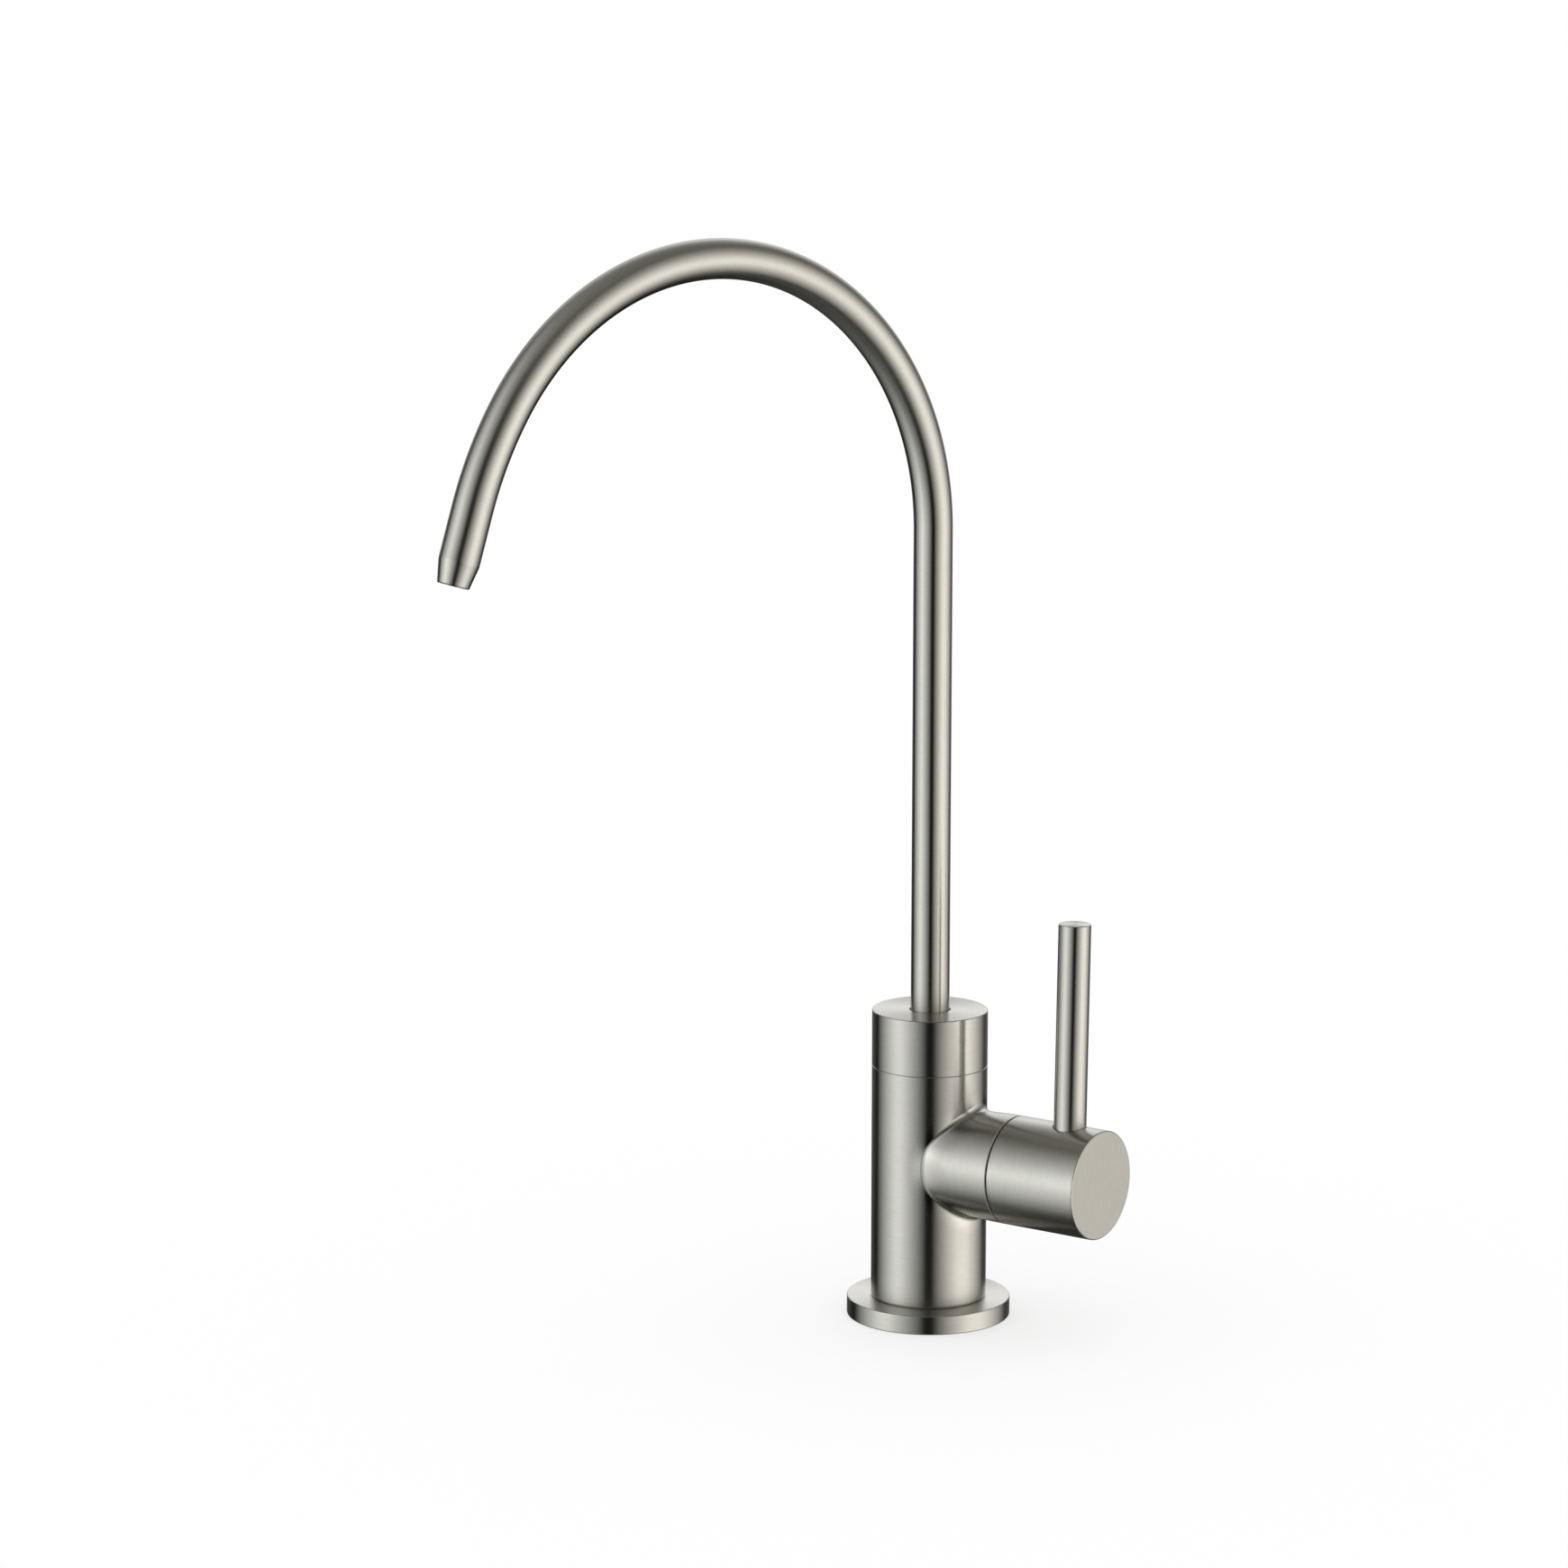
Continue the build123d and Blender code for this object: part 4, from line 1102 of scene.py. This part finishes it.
def hexagon(half, angles):
    """Radius of a hexagon at each angle: half its width over the cosine of the angle from the
    middle of its side."""
    return half / np.cos(angles % (pi / 3) - pi / 6)


def uneven(levels, angles):
    """Outline from levels of (radius, distance), each a number or one number for every angle."""
    return np.stack([np.stack(np.broadcast_arrays(*level, angles)[:2], axis=-1) for level in levels])


# A cone at 45 degrees cuts the nut's corners, and meets its faces at half the hexagon's width
nut_angles = np.linspace(0, 2 * pi, NUT_SIDES + 1)
nut_sides = hexagon(NUT_HALF, nut_angles)
cut = nut_sides - NUT_HALF
nut_outline = uneven(
    [
        (SHANK_SOCKET, NUT_BOTTOM + NUT_MOUTH),
        (SHANK_SOCKET + NUT_MOUTH, NUT_BOTTOM),
        (NUT_HALF, NUT_BOTTOM),
        (nut_sides, NUT_BOTTOM + cut),
        (nut_sides, NUT_TOP - cut),
        (NUT_HALF, NUT_TOP),
        (SHANK_SOCKET + NUT_MOUTH, NUT_TOP),
        (SHANK_SOCKET, NUT_TOP - NUT_MOUTH),
        (SHANK_SOCKET, NUT_BOTTOM + NUT_MOUTH),
    ],
    nut_angles,
)
nut = skin("nut", [turned(nut_outline, angles=nut_angles)], brasses["upright"])
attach(nut, "deck_clamp")
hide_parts("lock_nut")

# Brass parts inside. The spout's stem, and the valve's cartridge, spindle and stop ring, keep
# their own shapes and get the brass of the axis that they were turned about.
for node, axis in [
    ("spout_stem", "upright"),
    ("cartridge_body", "level"),
    ("valve_spindle", "level"),
    ("stop_ring", "level"),
]:
    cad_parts[node].data.materials[0] = brasses[axis]

# Rubber rings inside. Round cords of black EPDM in the grooves of the stem, the spindle and the
# cartridge, and the square-edged seal at the inlet's seat, which keeps its own shape.
STEM_RINGS = dict(radius=7.13, wire=0.79, places=[74.5, 80.5])
SPINDLE_RINGS = dict(radius=3.52, wire=0.5, places=[22.2, 26.2])
MOUTH_RING = dict(radius=8.53, wire=0.45, places=[31.0])

for name, rings, node, body, level in [
    ("stem_rings", STEM_RINGS, "spout_o_rings", "spout", False),
    ("spindle_rings", SPINDLE_RINGS, "spindle_o_rings", "handle", True),
    ("mouth_ring", MOUTH_RING, "cartridge_o_ring", "body", True),
]:
    axis = valve_axis if level else dict(origin=(0, 0, 0), along=(0, 0, 1), side=(1, 0, 0))
    section = wire_ring(rings["radius"], rings["wire"])
    grids = [turned(section + [0, place], **axis) for place in rings["places"]]
    piece = skin(name, grids, rubber)
    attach(piece, body)
    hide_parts(node)
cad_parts["seat_seal"].data.materials[0] = rubber

# Ceramic discs. Sintered alumina, ivory white, lapped to a soft shine, with a grain too fine to
# see that only dulls the reflection in spots.
LAPPED_ALUMINA = dict(
    colour="#F0EBE0", shade="#E4DDD0", grain=0.15 * MM, detail=2.0, roughness=(0.12, 0.24)
)
ALUMINA_IOR = 1.76


def fine_grained(name, colour, shade, grain, detail, roughness, depth=None, **finish):
    """Material whose colour and roughness follow one grain of this size, and its relief too where
    a depth is given. The first roughness goes with the colour, and the second with the shade.
    The finish is whatever else its shader takes, such as metallic or IOR."""
    material, nodes = bare_material(name)
    place = add_node(nodes, "ShaderNodeTexCoord", {}, {})
    speck = add_node(
        nodes,
        "ShaderNodeTexNoise",
        {},
        {"Vector": place.outputs["Object"], "Scale": 1 / grain, "Detail": detail},
    )
    tone = add_node(
        nodes,
        "ShaderNodeMix",
        dict(data_type="RGBA"),
        {"Factor": speck.outputs["Fac"], 6: linear(colour), 7: linear(shade)},
    )
    gloss = add_node(
        nodes,
        "ShaderNodeMapRange",
        {},
        {"Value": speck.outputs["Fac"], **NOISE_RANGE, "To Min": roughness[0], "To Max": roughness[1]},
    )
    sockets = {"Base Color": tone.outputs[2], "Roughness": gloss.outputs[0], **finish}
    if depth:
        relief = add_node(nodes, "ShaderNodeBump", {}, {"Distance": depth, "Height": speck.outputs["Fac"]})
        sockets["Normal"] = relief.outputs[0]
    shader = add_node(nodes, "ShaderNodeBsdfPrincipled", {}, sockets)
    add_node(nodes, "ShaderNodeOutputMaterial", {}, {"Surface": shader.outputs[0]})
    return material


alumina = fine_grained("lapped_alumina", **LAPPED_ALUMINA, IOR=ALUMINA_IOR)
for node in ["fixed_disc", "moving_disc"]:
    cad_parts[node].data.materials[0] = alumina

# Nylon rings. Injection moulded, milky white, with the slight ripple that the mould leaves.
MOULDED_NYLON = dict(
    colour="#E9E6DA", shade="#DEDACB", grain=0.8 * MM, detail=2.0, roughness=(0.38, 0.48)
)
RIPPLE_DEPTH = 0.01 * MM
NYLON_IOR = 1.53

nylon = fine_grained("moulded_nylon", **MOULDED_NYLON, depth=RIPPLE_DEPTH, IOR=NYLON_IOR)
for node in ["spout_thrust_ring", "spindle_slip_washer"]:
    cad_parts[node].data.materials[0] = nylon

# Grub screw and circlip. Hardened spring steel with a black oxide skin, oily and near black. The
# screw is an M4 one with a cup at its tip and a 2 mm hexagon socket in its head.
GRUB_LENGTH = 6.5
GRUB_TIP = -SPLINE_TIP
GRUB_HEAD = GRUB_TIP - GRUB_LENGTH
GRUB_PITCH = 0.7
GRUB_LEAD = 0.45
GRUB_CUP = 1.2
GRUB_SOCKET = 1.0
GRUB_SOCKET_DEPTH = 2.5
GRUB_SIDES = 60
# Where the oxide is worn it is lighter and smoother
BLACK_OXIDE = dict(
    colour="#3B3936", shade="#57534E", grain=0.5 * MM, detail=3.0, roughness=(0.5, 0.35)
)

oxide = fine_grained("black_oxide_spring_steel", **BLACK_OXIDE, Metallic=1.0)
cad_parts["spindle_circlip"].data.materials[0] = oxide

grub_angles = np.linspace(0, 2 * pi, GRUB_SIDES + 1)
grub_thread = helix(
    GRUB_RADIUS, GRUB_PITCH, GRUB_HEAD, GRUB_TIP, (GRUB_LEAD, GRUB_LEAD), grub_angles
)
socket = hexagon(GRUB_SOCKET, grub_angles)
head_outline = uneven(
    [
        (GRUB_RADIUS - GRUB_LEAD, GRUB_HEAD),
        (socket, GRUB_HEAD),
        (socket, GRUB_HEAD + GRUB_SOCKET_DEPTH),
        (0, GRUB_HEAD + GRUB_SOCKET_DEPTH),
    ],
    grub_angles,
)
tip_outline = np.array(
    [(GRUB_RADIUS - GRUB_LEAD, GRUB_TIP), (GRUB_CUP, GRUB_TIP), (0, GRUB_TIP - GRUB_CUP / 2)]
)
grub_outlines = [grub_thread, head_outline, tip_outline]
grub_grids = [turned(outline, angles=grub_angles, **lever_axis) for outline in grub_outlines]
grub = skin("grub_screw", grub_grids, oxide)
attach(grub, "handle")
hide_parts("hub_set_screw")
